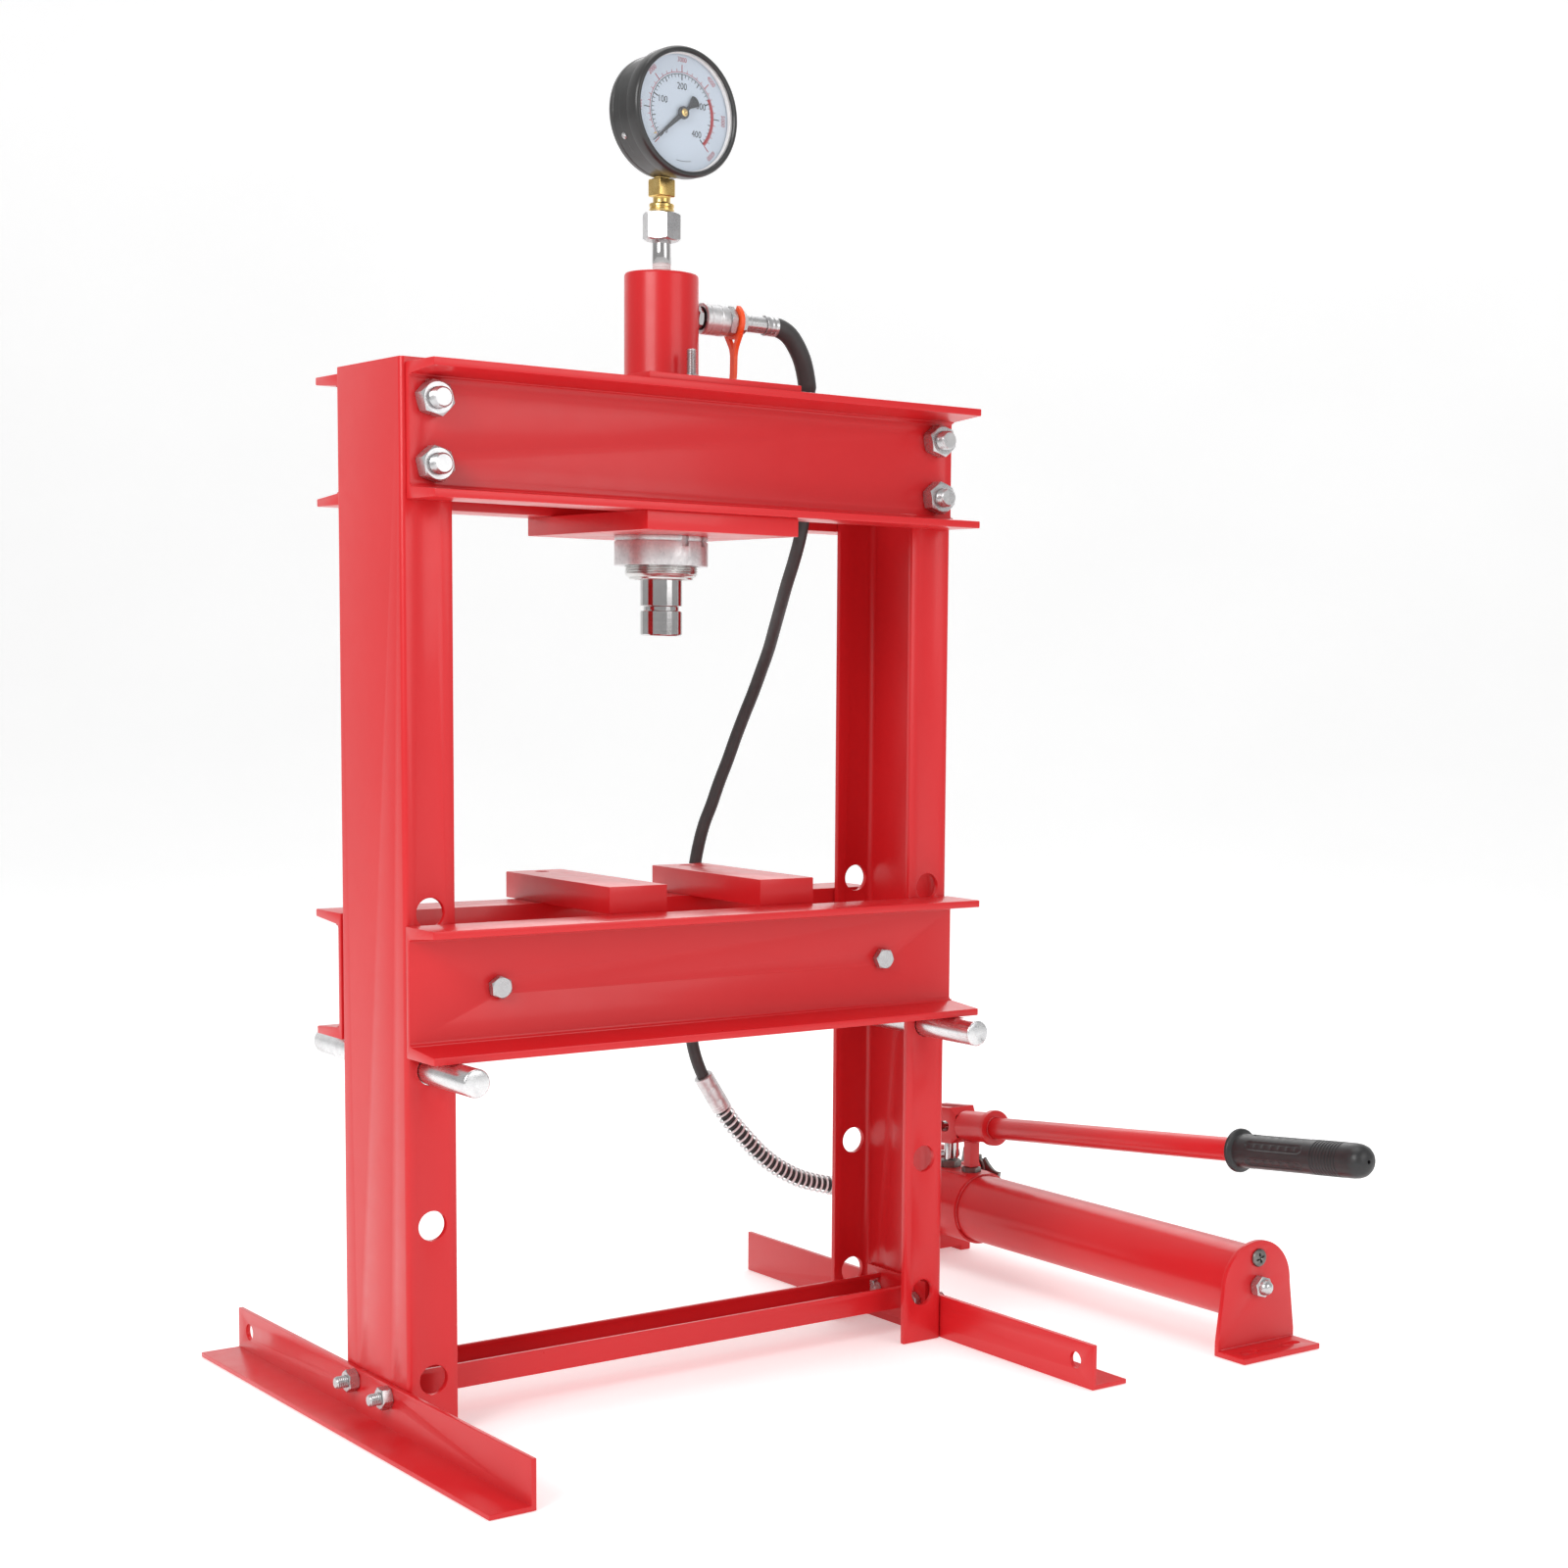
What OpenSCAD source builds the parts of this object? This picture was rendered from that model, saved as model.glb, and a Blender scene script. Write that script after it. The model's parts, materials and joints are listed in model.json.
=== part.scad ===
// Bench H-frame hydraulic shop press with a separate hand pump.
// X runs along the beams, Y to the back, Z up. Origin on the floor, in the middle of the whole set.

/* [Frame] */
// Outside width over the two uprights (mm)
frame_w = 510; // [470:1:640]
// Height of the uprights (mm)
frame_h = 816; // [800:1:900]
// Front to back depth of an upright channel (mm)
post_d = 112; // [108:1:116]
// Flange width of an upright channel (mm)
post_f = 41; // [40:1:46]
// Wall of the upright channels (mm)
post_t = 5; // [4:0.5:6]
// Height of the head and bed channels (mm)
beam_h = 100; // [96:1:104]
// Flange width of the head and bed channels (mm)
beam_f = 46; // [44:1:50]
// Web thickness of the head and bed channels (mm)
beam_w = 5; // [4.5:0.5:6]
// Length of a foot angle (mm)
foot_l = 522; // [420:2:600]
// Leg height of a foot angle (mm)
foot_h = 38; // [36:1:42]

/* [Bed] */
// Height of the bed pins above the floor (mm)
pin_z = 284; // [278:1:290]
// Diameter of a bed pin (mm)
pin_d = 22; // [18:0.5:24]
// Distance between the pin holes up an upright (mm)
pin_pitch = 120; // [112:1:124]
// Thickness of an arbor plate (mm)
arbor_t = 22; // [16:1:26]
// Length of an arbor plate (mm)
arbor_l = 173; // [150:1:176]
// Width of an arbor plate (mm)
arbor_w = 53; // [44:1:56]

/* [Ram] */
// Outside diameter of the ram body (mm)
ram_d = 60; // [57:0.5:62]
// Diameter of the ram rod (mm)
rod_d = 34; // [28:0.5:35]
// Bore of the ram body (mm)
bore_d = 43.2; // [42.8:0.1:44]
// Length of the ram rod from its nose to the piston (mm)
rod_l = 224; // [180:1:226]

/* [Gauge] */
// Outside diameter of the gauge bezel (mm)
gauge_d = 102; // [100:1:112]
// Turn of the gauge away from the front (degrees)
gauge_turn = 6; // [0:1:8]

/* [Pump] */
// Distance from the press centre line to the pump centre line (mm)
pump_x = 457; // [440:1:520]
// Height of the reservoir centre line (mm)
tank_z = 57; // [56:0.5:58]
// Diameter of the reservoir (mm)
tank_d = 66; // [60:1:68]
// Rise of the resting handle above level (degrees)
handle_rise = 5.4; // [4.6:0.1:6]
// Diameter of the handle tube (mm)
tube_d = 21.3; // [19:0.1:22]

/* [Hidden] */
$fn = 64;
hw = frame_w / 2;
pd = post_d / 2;
head_l = 502;
head_z = 712;
head_top = head_z + beam_h;
bed_z = pin_z + pin_d / 2 + 0.1;
bed_top = bed_z + beam_h;
bed_l = frame_w;
bed_y = pd + 1.5;
hole_x = 234;
hole_d = pin_d + 1;
bolt_x = 233;
bolt_z = [786, 738];
fbolt_y = 30;
fbolt_z = 28.5;
plate_lo_t = 15;
plate_up_t = 5;
body_bot = 662;
body_top = 907;
collar_top = head_z - plate_lo_t;
rod_bot = 616;
coup_z = 876;
gauge_z = 1031;
// the gauge sits this far in front of its stem
gauge_y = -3.4;
leaf = 4;
arbor_y0 = -55;
arbor_a = -80;
arbor_b = 62;
bracket_y = -245;
head_y0 = 142;
head_y1 = 236;
pl_y = 196;
ful_y = 222;
ful_z = 131.3;
grip_end = 588;
deck_z = 91;
knob_y = 200;
knob_z = 84;
knob_x = pump_x + 40;
port_y = 190;
port_z = 70;
// middle of the floor area that the press and its pump stand on
mid_x = (pump_x + 46 - hw - foot_h + 1) / 2;
mid_y = (3 + foot_l / 2 + ful_y - grip_end * cos(handle_rise) - 15) / 2;
// hose centre line, chosen by hand
route = [[98, 0, 876], [110, 0, 876], [124, 0, 870], [136, 1, 855], [143, 3, 839], [147, 5, 820],
  [148, 6, 790], [148, 8, 755], [147, 10, 722], [147, 16, 702], [150, 30, 682], [154, 46, 664],
  [160, 64, 646], [167, 84, 627], [172, 101, 608], [173, 115, 588], [171, 125, 568], [166, 131, 549],
  [159, 134, 529], [151, 135, 508], [142, 135, 488], [134, 135, 468], [126, 135, 450], [120, 135, 430],
  [116, 135, 410], [113, 135, 385], [112, 135, 355], [111, 135, 325], [111, 135, 295], [112, 135, 270],
  [116, 135, 246], [126, 135, 221], [146, 135, 190], [158, 135, 174], [171, 135, 160], [189, 135, 142],
  [209, 135, 127], [236, 135, 113], [274, 136, 102], [310, 143, 93], [344, 155, 84], [366, 170, 76],
  [384, 182, 71.5], [398, 188.5, 70], [408, 190, 70]];
hose_d = 11;
piston_h = 24;

// ---- helpers ----
// every piece is drawn about the press centre line, then shifted to the middle of the whole set
module place() { translate([-mid_x, -mid_y, 0]) children(); }
module box(x0, x1, y0, y1, z0, z1) { translate([x0, y0, z0]) cube([x1 - x0, y1 - y0, z1 - z0]); }
module rod_x(x0, x1, y, z, d) { translate([x0, y, z]) rotate([0, 90, 0]) cylinder(h = x1 - x0, d = d); }
module rod_y(x, y0, y1, z, d) { translate([x, y0, z]) rotate([-90, 0, 0]) cylinder(h = y1 - y0, d = d); }
module rod_z(x, y, z0, z1, d) { translate([x, y, z0]) cylinder(h = z1 - z0, d = d); }
module hex_x(x0, x1, y, z, af) { translate([x0, y, z]) rotate([0, 90, 0]) cylinder(h = x1 - x0, d = af / cos(30), $fn = 6); }
module hex_y(x, y0, y1, z, af) { translate([x, y0, z]) rotate([-90, 0, 0]) rotate([0, 0, 30]) cylinder(h = y1 - y0, d = af / cos(30), $fn = 6); }
module hex_z(x, y, z0, z1, af) { translate([x, y, z0]) rotate([0, 0, 15]) cylinder(h = z1 - z0, d = af / cos(30), $fn = 6); }
module tube_y(x, y0, y1, z, d, di) { difference() { rod_y(x, y0, y1, z, d); rod_y(x, y0 - 1, y1 + 1, z, di); } }
module tube_z(x, y, z0, z1, d, di) { difference() { rod_z(x, y, z0, z1, d); rod_z(x, y, z0 - 1, z1 + 1, di); } }
module tube_x(x0, x1, y, z, d, di) { difference() { rod_x(x0, x1, y, z, d); rod_x(x0 - 1, x1 + 1, y, z, di); } }
// inside corner fillet running up Z
module fillet_z(x, y, sx, sy, r, z0, z1) {
  difference() {
    translate([x + (sx > 0 ? -0.5 : -r), y + (sy > 0 ? -0.5 : -r), z0]) cube([r + 0.5, r + 0.5, z1 - z0]);
    rod_z(x + sx * r, y + sy * r, z0 - 1, z1 + 1, 2 * r);
  }
}

// ---- frame ----
// channel standing upright, web on the -X side
module post() {
  difference() {
    union() {
      difference() {
        box(-hw, -hw + post_f, -pd, pd, 0, frame_h);
        box(-hw + post_t, -hw + post_f + 1, -pd + post_t, pd - post_t, -1, frame_h + 1);
      }
      fillet_z(-hw + post_t, -pd + post_t, 1, 1, 5, 0, frame_h);
      fillet_z(-hw + post_t, pd - post_t, 1, -1, 5, 0, frame_h);
    }
    // outside bend radii of the folded channel
    difference() {
      box(-hw - 1, -hw + 4, -pd - 1, -pd + 4, -1, frame_h + 1);
      rod_z(-hw + 4, -pd + 4, -2, frame_h + 2, 8);
    }
    difference() {
      box(-hw - 1, -hw + 4, pd - 4, pd + 1, -1, frame_h + 1);
      rod_z(-hw + 4, pd - 4, -2, frame_h + 2, 8);
    }
    for (i = [-2 : 1]) rod_y(-hole_x, -pd - 2, pd + 2, pin_z + i * pin_pitch, hole_d);
    for (z = bolt_z) rod_y(-bolt_x, -pd - 2, pd + 2, z, 17);
    for (y = [-fbolt_y, fbolt_y]) rod_x(-hw - 2, -hw + post_t + 2, y, fbolt_z, 11);
  }
}
module upright_left() { place() color("red") post(); }
module upright_right() { place() color("red") rotate([0, 0, 180]) post(); }

// rolled channel along X, web outer face at y = 0, flanges towards -Y, flange faces tapered
module rolled(l, h) {
  fr = 9.4; ft = 6; r = 3;
  difference() {
    union() {
      translate([-l / 2, 0, 0]) rotate([90, 0, 90]) linear_extrude(height = l)
        polygon([[0, 0], [0, h], [-beam_f, h], [-beam_f, h - ft], [-beam_w, h - fr], [-beam_w, fr], [-beam_f, ft], [-beam_f, 0]]);
      for (s = [0, 1]) difference() {
        box(-l / 2, l / 2, -beam_w - r, -beam_w + 0.5, s == 0 ? fr - 1.2 : h - fr - r, s == 0 ? fr + r : h - fr + 1.2);
        rod_x(-l / 2 - 1, l / 2 + 1, -beam_w - r, s == 0 ? fr + r : h - fr - r, 2 * r);
      }
    }
  }
}
module head_channel(s) {
  difference() {
    rotate([0, 0, s > 0 ? 180 : 0]) translate([0, -pd, head_z]) rolled(head_l, beam_h);
    for (x = [-bolt_x, bolt_x], z = bolt_z) rod_y(x, -pd - 8, pd + 8, z, 17);
  }
}
module head_channel_front() { place() color("red") head_channel(-1); }
module head_channel_rear() { place() color("red") head_channel(1); }
module head_bolts() {
  place() color("silver") for (s = [0, 180], x = [-bolt_x, bolt_x], z = bolt_z) rotate([0, 0, s]) {
    hex_y(x, -pd + post_t, -pd + post_t + 10, z, 24);
    rod_y(x, -pd - 26, -pd + post_t + 1, z, 15.8);
  }
}
module head_nuts() {
  place() color("silver") for (s = [0, 180], x = [-bolt_x, bolt_x], z = bolt_z) rotate([0, 0, s]) difference() {
    hex_y(x, -pd - beam_w - 13, -pd - beam_w, z, 24);
    rod_y(x, -pd - 40, -pd, z, 15.8);
  }
}
module cross_member() {
  place() color("red") difference() {
    union() {
      box(-hw + post_t + 3.8, hw - post_t - 3.8, -26, 26, 24, 27);
      box(-hw + post_t + 3.8, hw - post_t - 3.8, -26, -23, 24, 44);
      box(-hw + post_t + 3.8, hw - post_t - 3.8, 23, 26, 24, 44);
      box(-hw + post_t, -hw + post_t + 4, -44, 44, 8, 49);
      box(hw - post_t - 4, hw - post_t, -44, 44, 8, 49);
    }
    for (y = [-fbolt_y, fbolt_y]) {
      rod_x(-hw, -hw + post_t + 5, y, fbolt_z, 11);
      rod_x(hw - post_t - 5, hw, y, fbolt_z, 11);
    }
    box(-hw + post_t + 4, -hw + post_t + 16, -42, -17, 18, 40);
    box(-hw + post_t + 4, -hw + post_t + 16, 17, 42, 18, 40);
    box(hw - post_t - 16, hw - post_t - 4, -42, -17, 18, 40);
    box(hw - post_t - 16, hw - post_t - 4, 17, 42, 18, 40);
  }
}
module foot() {
  difference() {
    union() {
      box(-hw - leaf, -hw, 3 - foot_l / 2, 3 + foot_l / 2, 0, foot_h);
      box(-hw - foot_h + 1, -hw - leaf + 0.5, 3 - foot_l / 2, 3 + foot_l / 2, 0, leaf);
    }
    for (y = [-fbolt_y, fbolt_y]) rod_x(-hw - leaf - 2, -hw + 2, y, fbolt_z, 11);
    rod_x(-hw - leaf - 2, -hw + 2, 3 + foot_l / 2 - 23, 21, 14);
  }
}
module foot_left() { place() color("red") foot(); }
module foot_right() { place() color("red") rotate([0, 0, 180]) foot(); }
module foot_bolts() {
  place() color("silver") for (s = [0, 180], y = [-fbolt_y, fbolt_y]) rotate([0, 0, s]) {
    hex_x(-hw + post_t + 4, -hw + post_t + 10.4, y, fbolt_z, 16);
    rod_x(-hw - leaf - 17, -hw + post_t + 5, y, fbolt_z, 9.8);
  }
}
module foot_nuts() {
  place() color("silver") for (s = [0, 180], y = [-fbolt_y, fbolt_y]) rotate([0, 0, s]) difference() {
    hex_x(-hw - leaf - 8.4, -hw - leaf, y, fbolt_z, 16);
    rod_x(-hw - leaf - 20, -hw, y, fbolt_z, 9.8);
  }
}

// ---- head plates and ram ----
module top_clamp_plate() {
  place() color("red") difference() {
    box(-70, 70, -99, 99, head_top, head_top + plate_up_t);
    rod_z(0, 0, head_top - 1, head_top + plate_up_t + 1, ram_d + 1.2);
    for (y = [-46, 46]) rod_z(0, y, head_top - 1, head_top + plate_up_t + 1, 9);
  }
}
module lower_press_plate() {
  place() color("red") difference() {
    box(-70, 70, -96, 96, head_z - plate_lo_t, head_z);
    rod_z(0, 0, head_z - plate_lo_t - 1, head_z + 1, ram_d + 1.2);
    for (y = [-46, 46]) rod_z(0, y, head_z - plate_lo_t - 1, head_z + 1, 9);
    for (y = [-46, 46]) hex_z(0, y, head_z - plate_lo_t - 1, head_z - plate_lo_t + 6, 14);
  }
}
module clamp_studs() {
  place() color("silver") for (y = [-46, 46]) {
    rod_z(0, y, head_z - plate_lo_t + 0.5, head_top + plate_up_t + 27, 8);
    hex_z(0, y, head_z - plate_lo_t + 0.5, head_z - plate_lo_t + 6, 13);
  }
}
module clamp_nuts() {
  place() color("silver") for (y = [-46, 46]) difference() {
    hex_z(0, y, head_top + plate_up_t, head_top + plate_up_t + 6.5, 13);
    rod_z(0, y, head_top, head_top + plate_up_t + 9, 8);
  }
}
module ram_body() {
  place() color("red") difference() {
    union() {
      rod_z(0, 0, body_bot + 3.5, body_top - 2, ram_d);
      translate([0, 0, body_bot]) cylinder(h = 3.5, d1 = ram_d - 9, d2 = ram_d - 2);
      translate([0, 0, body_top - 2]) cylinder(h = 2, d1 = ram_d, d2 = ram_d - 4);
    }
    rod_z(0, 0, body_bot + 22, body_top - 16, bore_d);
    rod_z(0, 0, body_bot - 1, body_bot + 23, 46);
    rod_z(0, 0, body_top - 20, body_top + 1, 12.4);
    rod_x(0, 40, 0, coup_z, 12.4);
  }
}
module ram_collar() {
  place() color("silver") difference() {
    tube_z(0, 0, collar_top - 24, collar_top, 76, ram_d);
    tube_z(0, 0, collar_top - 4.6, collar_top - 3.4, 80, 73.4);
    for (a = [-90, -58, 90, 122]) rotate([0, 0, a]) box(34.6, 40, -3, 3, collar_top - 8.5, collar_top + 1);
  }
}
module ram_gland() {
  place() color("goldenrod") difference() {
    union() {
      rod_z(0, 0, body_bot + 0.5, body_bot + 21.8, 46);
    }
    rod_z(0, 0, body_bot - 1, body_bot + 24, rod_d + 0.1);
    tube_z(0, 0, body_bot + 6, body_bot + 9, rod_d + 5, rod_d - 2);
  }
}
module ram_rod() {
  place() color("lightgray") difference() {
    union() {
      rod_z(0, 0, rod_bot + 1, rod_bot + rod_l, rod_d);
      translate([0, 0, rod_bot]) cylinder(h = 1, d1 = rod_d - 2, d2 = rod_d);
    }
    tube_z(0, 0, rod_bot + 20.5, rod_bot + 24.5, rod_d + 4, rod_d - 5);
  }
}
module ram_piston() {
  place() color("lightgray") difference() {
    rod_z(0, 0, rod_bot + rod_l, rod_bot + rod_l + piston_h, bore_d - 0.1);
    tube_z(0, 0, rod_bot + rod_l + 9, rod_bot + rod_l + 15, bore_d + 4, bore_d - 8);
  }
}
module ram_seal() {
  place() color("black") tube_z(0, 0, rod_bot + rod_l + 9, rod_bot + rod_l + 15, bore_d - 0.1, bore_d - 8);
}
// helical return spring round the rod, between the gland and the piston
spring_r = (rod_d + bore_d) / 4;
function coil(i, n, z0, z1, r, turns) = [r * cos(360 * turns * i / n), r * sin(360 * turns * i / n), z0 + (z1 - z0) * i / n];
module sweep(pts, r, k) {
  n = len(pts);
  function tan_at(i) = let(a = pts[max(i - 1, 0)], b = pts[min(i + 1, n - 1)], d = b - a) d / norm(d);
  function side(i) = let(t = tan_at(i), u = abs(t[2]) > 0.9 ? [0, 1, 0] : [0, 0, 1], s = cross(t, u)) s / norm(s);
  function ring(i) = let(t = tan_at(i), s = side(i), u = cross(s, t)) [for (j = [0 : k - 1]) pts[i] + r * (cos(360 * j / k) * s + sin(360 * j / k) * u)];
  v = [for (i = [0 : n - 1]) each ring(i)];
  f = concat(
    [for (i = [0 : n - 2], j = [0 : k - 1]) let(a = i * k + j, b = i * k + (j + 1) % k) [a, a + k, b + k, b]],
    [[for (j = [0 : k - 1]) j]],
    [[for (j = [k - 1 : -1 : 0]) (n - 1) * k + j]]);
  polyhedron(points = v, faces = f, convexity = 6);
}
module return_spring() {
  place() color("gray") sweep([for (i = [0 : 144]) coil(i, 144, body_bot + 24, rod_bot + rod_l - 2, spring_r, 8)], 1.5, 6);
}

// ---- gauge ----
module gauge_adapter() {
  place() color("silver") difference() {
    union() {
      rod_z(0, 0, body_top - 12, body_top + 1, 12.4);
      rod_z(0, 0, body_top, body_top + 9.5, 14);
      rod_z(0, 0, body_top + 9, 934, 15.2);
      hex_z(0, 0, 933, 956, 27);
    }
    rod_z(0, 0, body_top - 13, 957, 5);
    rod_z(0, 0, 944, 957, 13);
  }
}
module gauge_stem() {
  place() color("goldenrod") rotate([0, 0, gauge_turn]) difference() {
    union() {
      rod_z(0, 0, 944, 957, 13);
      rod_z(0, 0, 956, 963, 20);
      rod_z(0, 0, 962, 969, 14);
      box(-8, 8, -8, 8, 968.4, 982.4);
      rod_z(0, 0, 982, 993, 13);
    }
    rod_z(0, 0, 943, 990, 4);
  }
}
// case is open to the front; the face looks along -Y before the gauge is turned
module gauge_case() {
  place() color("black") rotate([0, 0, gauge_turn]) translate([0, gauge_y, 0]) difference() {
    union() {
      rod_y(0, -21.8, 13, gauge_z, gauge_d - 6);
      rod_x(-gauge_d / 2 + 5.5, -gauge_d / 2 + 12, -5, gauge_z - 22, 6);
    }
    rod_y(0, -30, 10.5, gauge_z, gauge_d - 11);
    rod_z(0, -gauge_y, 970, 990, 13);
  }
}
module gauge_dial() {
  place() color("lightblue") rotate([0, 0, gauge_turn]) translate([0, gauge_y, 0]) difference() {
    rod_y(0, -23, -21.8, gauge_z, gauge_d - 6.6);
    rod_y(0, -30, -10, gauge_z, 7);
  }
}
module gauge_bezel() {
  place() color("black") rotate([0, 0, gauge_turn]) translate([0, gauge_y, 0]) difference() {
    union() {
      rod_y(0, -30, -18, gauge_z, gauge_d);
      translate([0, -31.5, gauge_z]) rotate([-90, 0, 0]) cylinder(h = 1.5, d1 = gauge_d - 3, d2 = gauge_d);
    }
    rod_y(0, -29.5, -10, gauge_z, gauge_d - 6);
    rod_y(0, -40, -20, gauge_z, gauge_d - 10);
  }
}
module gauge_lens() {
  place() color("white", 0.3) rotate([0, 0, gauge_turn]) translate([0, gauge_y, 0]) rod_y(0, -29.5, -27.8, gauge_z, gauge_d - 6.6);
}
module gauge_works() {
  place() color("goldenrod") rotate([0, 0, gauge_turn]) translate([0, gauge_y, 0]) {
    difference() {
      union() {
        translate([0, -2, gauge_z]) rotate([90, 0, 0]) rotate_extrude(angle = 258) translate([30, 0]) circle(d = 9, $fn = 24);
        box(10, 31, -4, 0, gauge_z - 3, gauge_z + 2);
        box(-7, 7, -6, 6, gauge_z - 38, gauge_z - 8);
        rod_y(0, -20.5, 4, gauge_z, 26);
      }
      rod_y(0, -24, -10, gauge_z, 3.2);
    }
  }
}
module gauge_needle() {
  place() color("black") rotate([0, 0, gauge_turn]) translate([0, gauge_y, gauge_z]) {
    rod_y(0, -27.2, -11, 0, 3);
    rod_y(0, -27.2, -24, 0, 11);
    rotate([0, 229, 0]) rotate([90, 0, 0]) translate([0, 0, 24.4]) linear_extrude(height = 1)
      polygon([[-3, 0], [-0.7, 39], [0.7, 39], [3, 0], [4.6, -20], [-4.6, -20]]);
  }
}

// ---- coupler and hose ----
module coupler_nipple() {
  place() color("silver") difference() {
    union() {
      rod_x(22.4, 34, 0, coup_z, 12.4);
      hex_x(30.3, 36, 0, coup_z, 19);
      rod_x(35.5, 58, 0, coup_z, 15);
    }
    rod_x(19, 59, 0, coup_z, 6);
  }
}
module coupler_sleeve() {
  place() color("silver") difference() {
    tube_x(37, 60, 0, coup_z, 26, 19.1);
    tube_x(46, 48, 0, coup_z, 30, 24.6);
    tube_x(50, 52, 0, coup_z, 30, 24.6);
  }
}
module coupler_body() {
  place() color("silver") difference() {
    union() {
      rod_x(44, 60.4, 0, coup_z, 19);
      hex_x(60.4, 67, 0, coup_z, 22);
      rod_x(66, 74, 0, coup_z, 14);
      hex_x(72, 78, 0, coup_z, 19);
      rod_x(77, 98, 0, coup_z, 14);
    }
    rod_x(43, 62, 0, coup_z, 15.2);
    rod_x(61, 99, 0, coup_z, 6);
  }
}
module dust_cap() {
  place() color("orangered") difference() {
    union() {
      rod_x(67.4, 71.4, 0, coup_z, 29);
      box(67.4, 71.4, -4, 4, 834, coup_z - 10);
      box(52, 71.4, -4, 4, 834, 838);
      rod_z(54, 0, head_top + plate_up_t + 0.3, 838, 25);
    }
    rod_x(60, 80, 0, coup_z, 14.6);
    box(60, 80, -2.5, 2.5, coup_z + 5, coup_z + 20);
    rod_z(54, 0, head_top + plate_up_t - 1, 832, 20);
  }
}
module hose() { place() color("#202020") sweep(route, hose_d / 2, 12); }
module hose_ends() {
  place() color("silver") {
    tube_seg(31, 32, 8.8);
    tube_seg(0, 1, 8.4);
    rod_x(399, 409, port_y, port_z, 16);
    hex_x(408, 416.8, port_y, port_z, 19);
    rod_x(416, 431, port_y, port_z, 12);
  }
}
// one straight sleeve of the hose between two route points
module tube_seg(i, j, r) {
  a = route[i]; b = route[j]; d = b - a; l = norm(d);
  translate(a) rotate([0, acos(d[2] / l), atan2(d[1], d[0])]) cylinder(h = l, r = r);
}
module hose_guard() {
  // stiffener over the first bend and the coil guard near the pump, both drawn as sleeves
  place() color("#303030") {
    sweep([for (i = [1 : 5]) route[i]], 8.2, 12);
    sweep([for (i = [32 : 43]) route[i]], 9.2, 12);
  }
}

// ---- bed ----
module bed_channel(s) {
  difference() {
    rotate([0, 0, s > 0 ? 180 : 0]) translate([0, -bed_y, bed_z]) rolled(bed_l, beam_h);
    for (x = [-181, 181]) rod_y(x, -bed_y - 8, bed_y + 8, bed_z + 50, 11);
  }
}
module bed_channel_front() { place() color("red") bed_channel(-1); }
module bed_channel_rear() { place() color("red") bed_channel(1); }
module bed_bolts() {
  place() color("silver") for (x = [-181, 181]) {
    hex_y(x, -bed_y - beam_w - 6.4, -bed_y - beam_w, bed_z + 50, 16);
    rod_y(x, -bed_y - beam_w - 1, bed_y + beam_w + 13, bed_z + 50, 9.8);
    hex_y(x, bed_y + beam_w, bed_y + beam_w + 8.4, bed_z + 50, 16);
  }
}
module bed_spacers() {
  place() color("red") for (x = [-181, 181]) tube_y(x, -bed_y, bed_y, bed_z + 50, 21, 11);
}
module bed_pin(x) {
  rod_y(x, -129, 133, pin_z, pin_d);
  translate([x, -130.5, pin_z]) rotate([-90, 0, 0]) cylinder(h = 1.5, d1 = pin_d - 3, d2 = pin_d);
  translate([x, 133, pin_z]) rotate([-90, 0, 0]) cylinder(h = 1.5, d1 = pin_d, d2 = pin_d - 3);
}
module pin_left() { place() color("silver") bed_pin(-hole_x); }
module pin_right() { place() color("silver") bed_pin(hole_x); }
module arbor(x) {
  difference() {
    box(x, x + arbor_w, arbor_y0, arbor_y0 + arbor_l, bed_top, bed_top + arbor_t);
    rod_z(x + arbor_w / 2, arbor_y0 + arbor_l - 14, bed_top - 1, bed_top + arbor_t + 1, 12);
  }
}
module arbor_plate_left() { place() color("red") arbor(arbor_a); }
module arbor_plate_right() { place() color("red") arbor(arbor_b); }

// ---- pump ----
module pump_head() {
  place() color("red") difference() {
    union() {
      difference() {
        rod_y(pump_x, head_y0, head_y1, tank_z, 72);
        box(pump_x - 40, pump_x + 40, head_y0 - 1, head_y1 + 1, deck_z, deck_z + 20);
      }
      box(pump_x - 15, pump_x + 15, head_y0 + 8, head_y1, tank_z, deck_z);
      box(pump_x - 32, pump_x + 32, 202, head_y1, 0, tank_z - 10);
      rod_x(pump_x + 13.4, pump_x + 37, knob_y, knob_z, 17);
      rod_x(pump_x - 40, pump_x - 20, port_y, port_z, 22);
      box(pump_x - 21, pump_x - 15.4, ful_y - 12, head_y1, deck_z - 12, deck_z + 14);
      box(pump_x + 15.4, pump_x + 21, ful_y - 12, head_y1, deck_z - 12, deck_z + 14);
    }
    rod_y(pump_x, head_y0 - 1, head_y0 + 9, tank_z, tank_d + 0.2);
    box(pump_x - 20, pump_x + 20, 200, head_y1 + 1, -1, 5);
    rod_z(pump_x, pl_y, 40, deck_z + 1, 14);
    rod_z(pump_x, pl_y, deck_z - 12, deck_z + 1, 20);
    rod_z(pump_x, 161, deck_z - 10, deck_z + 1, 8.2);
    rod_x(pump_x + 13, pump_x + 38, knob_y, knob_z, 10.1);
    rod_x(pump_x - 41, pump_x - 14, port_y, port_z, 12);
    rod_y(pump_x, head_y0, head_y0 + 30, tank_z, 10);
    rod_x(pump_x - 30, pump_x + 30, ful_y, deck_z + 7, 8);
  }
}
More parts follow.
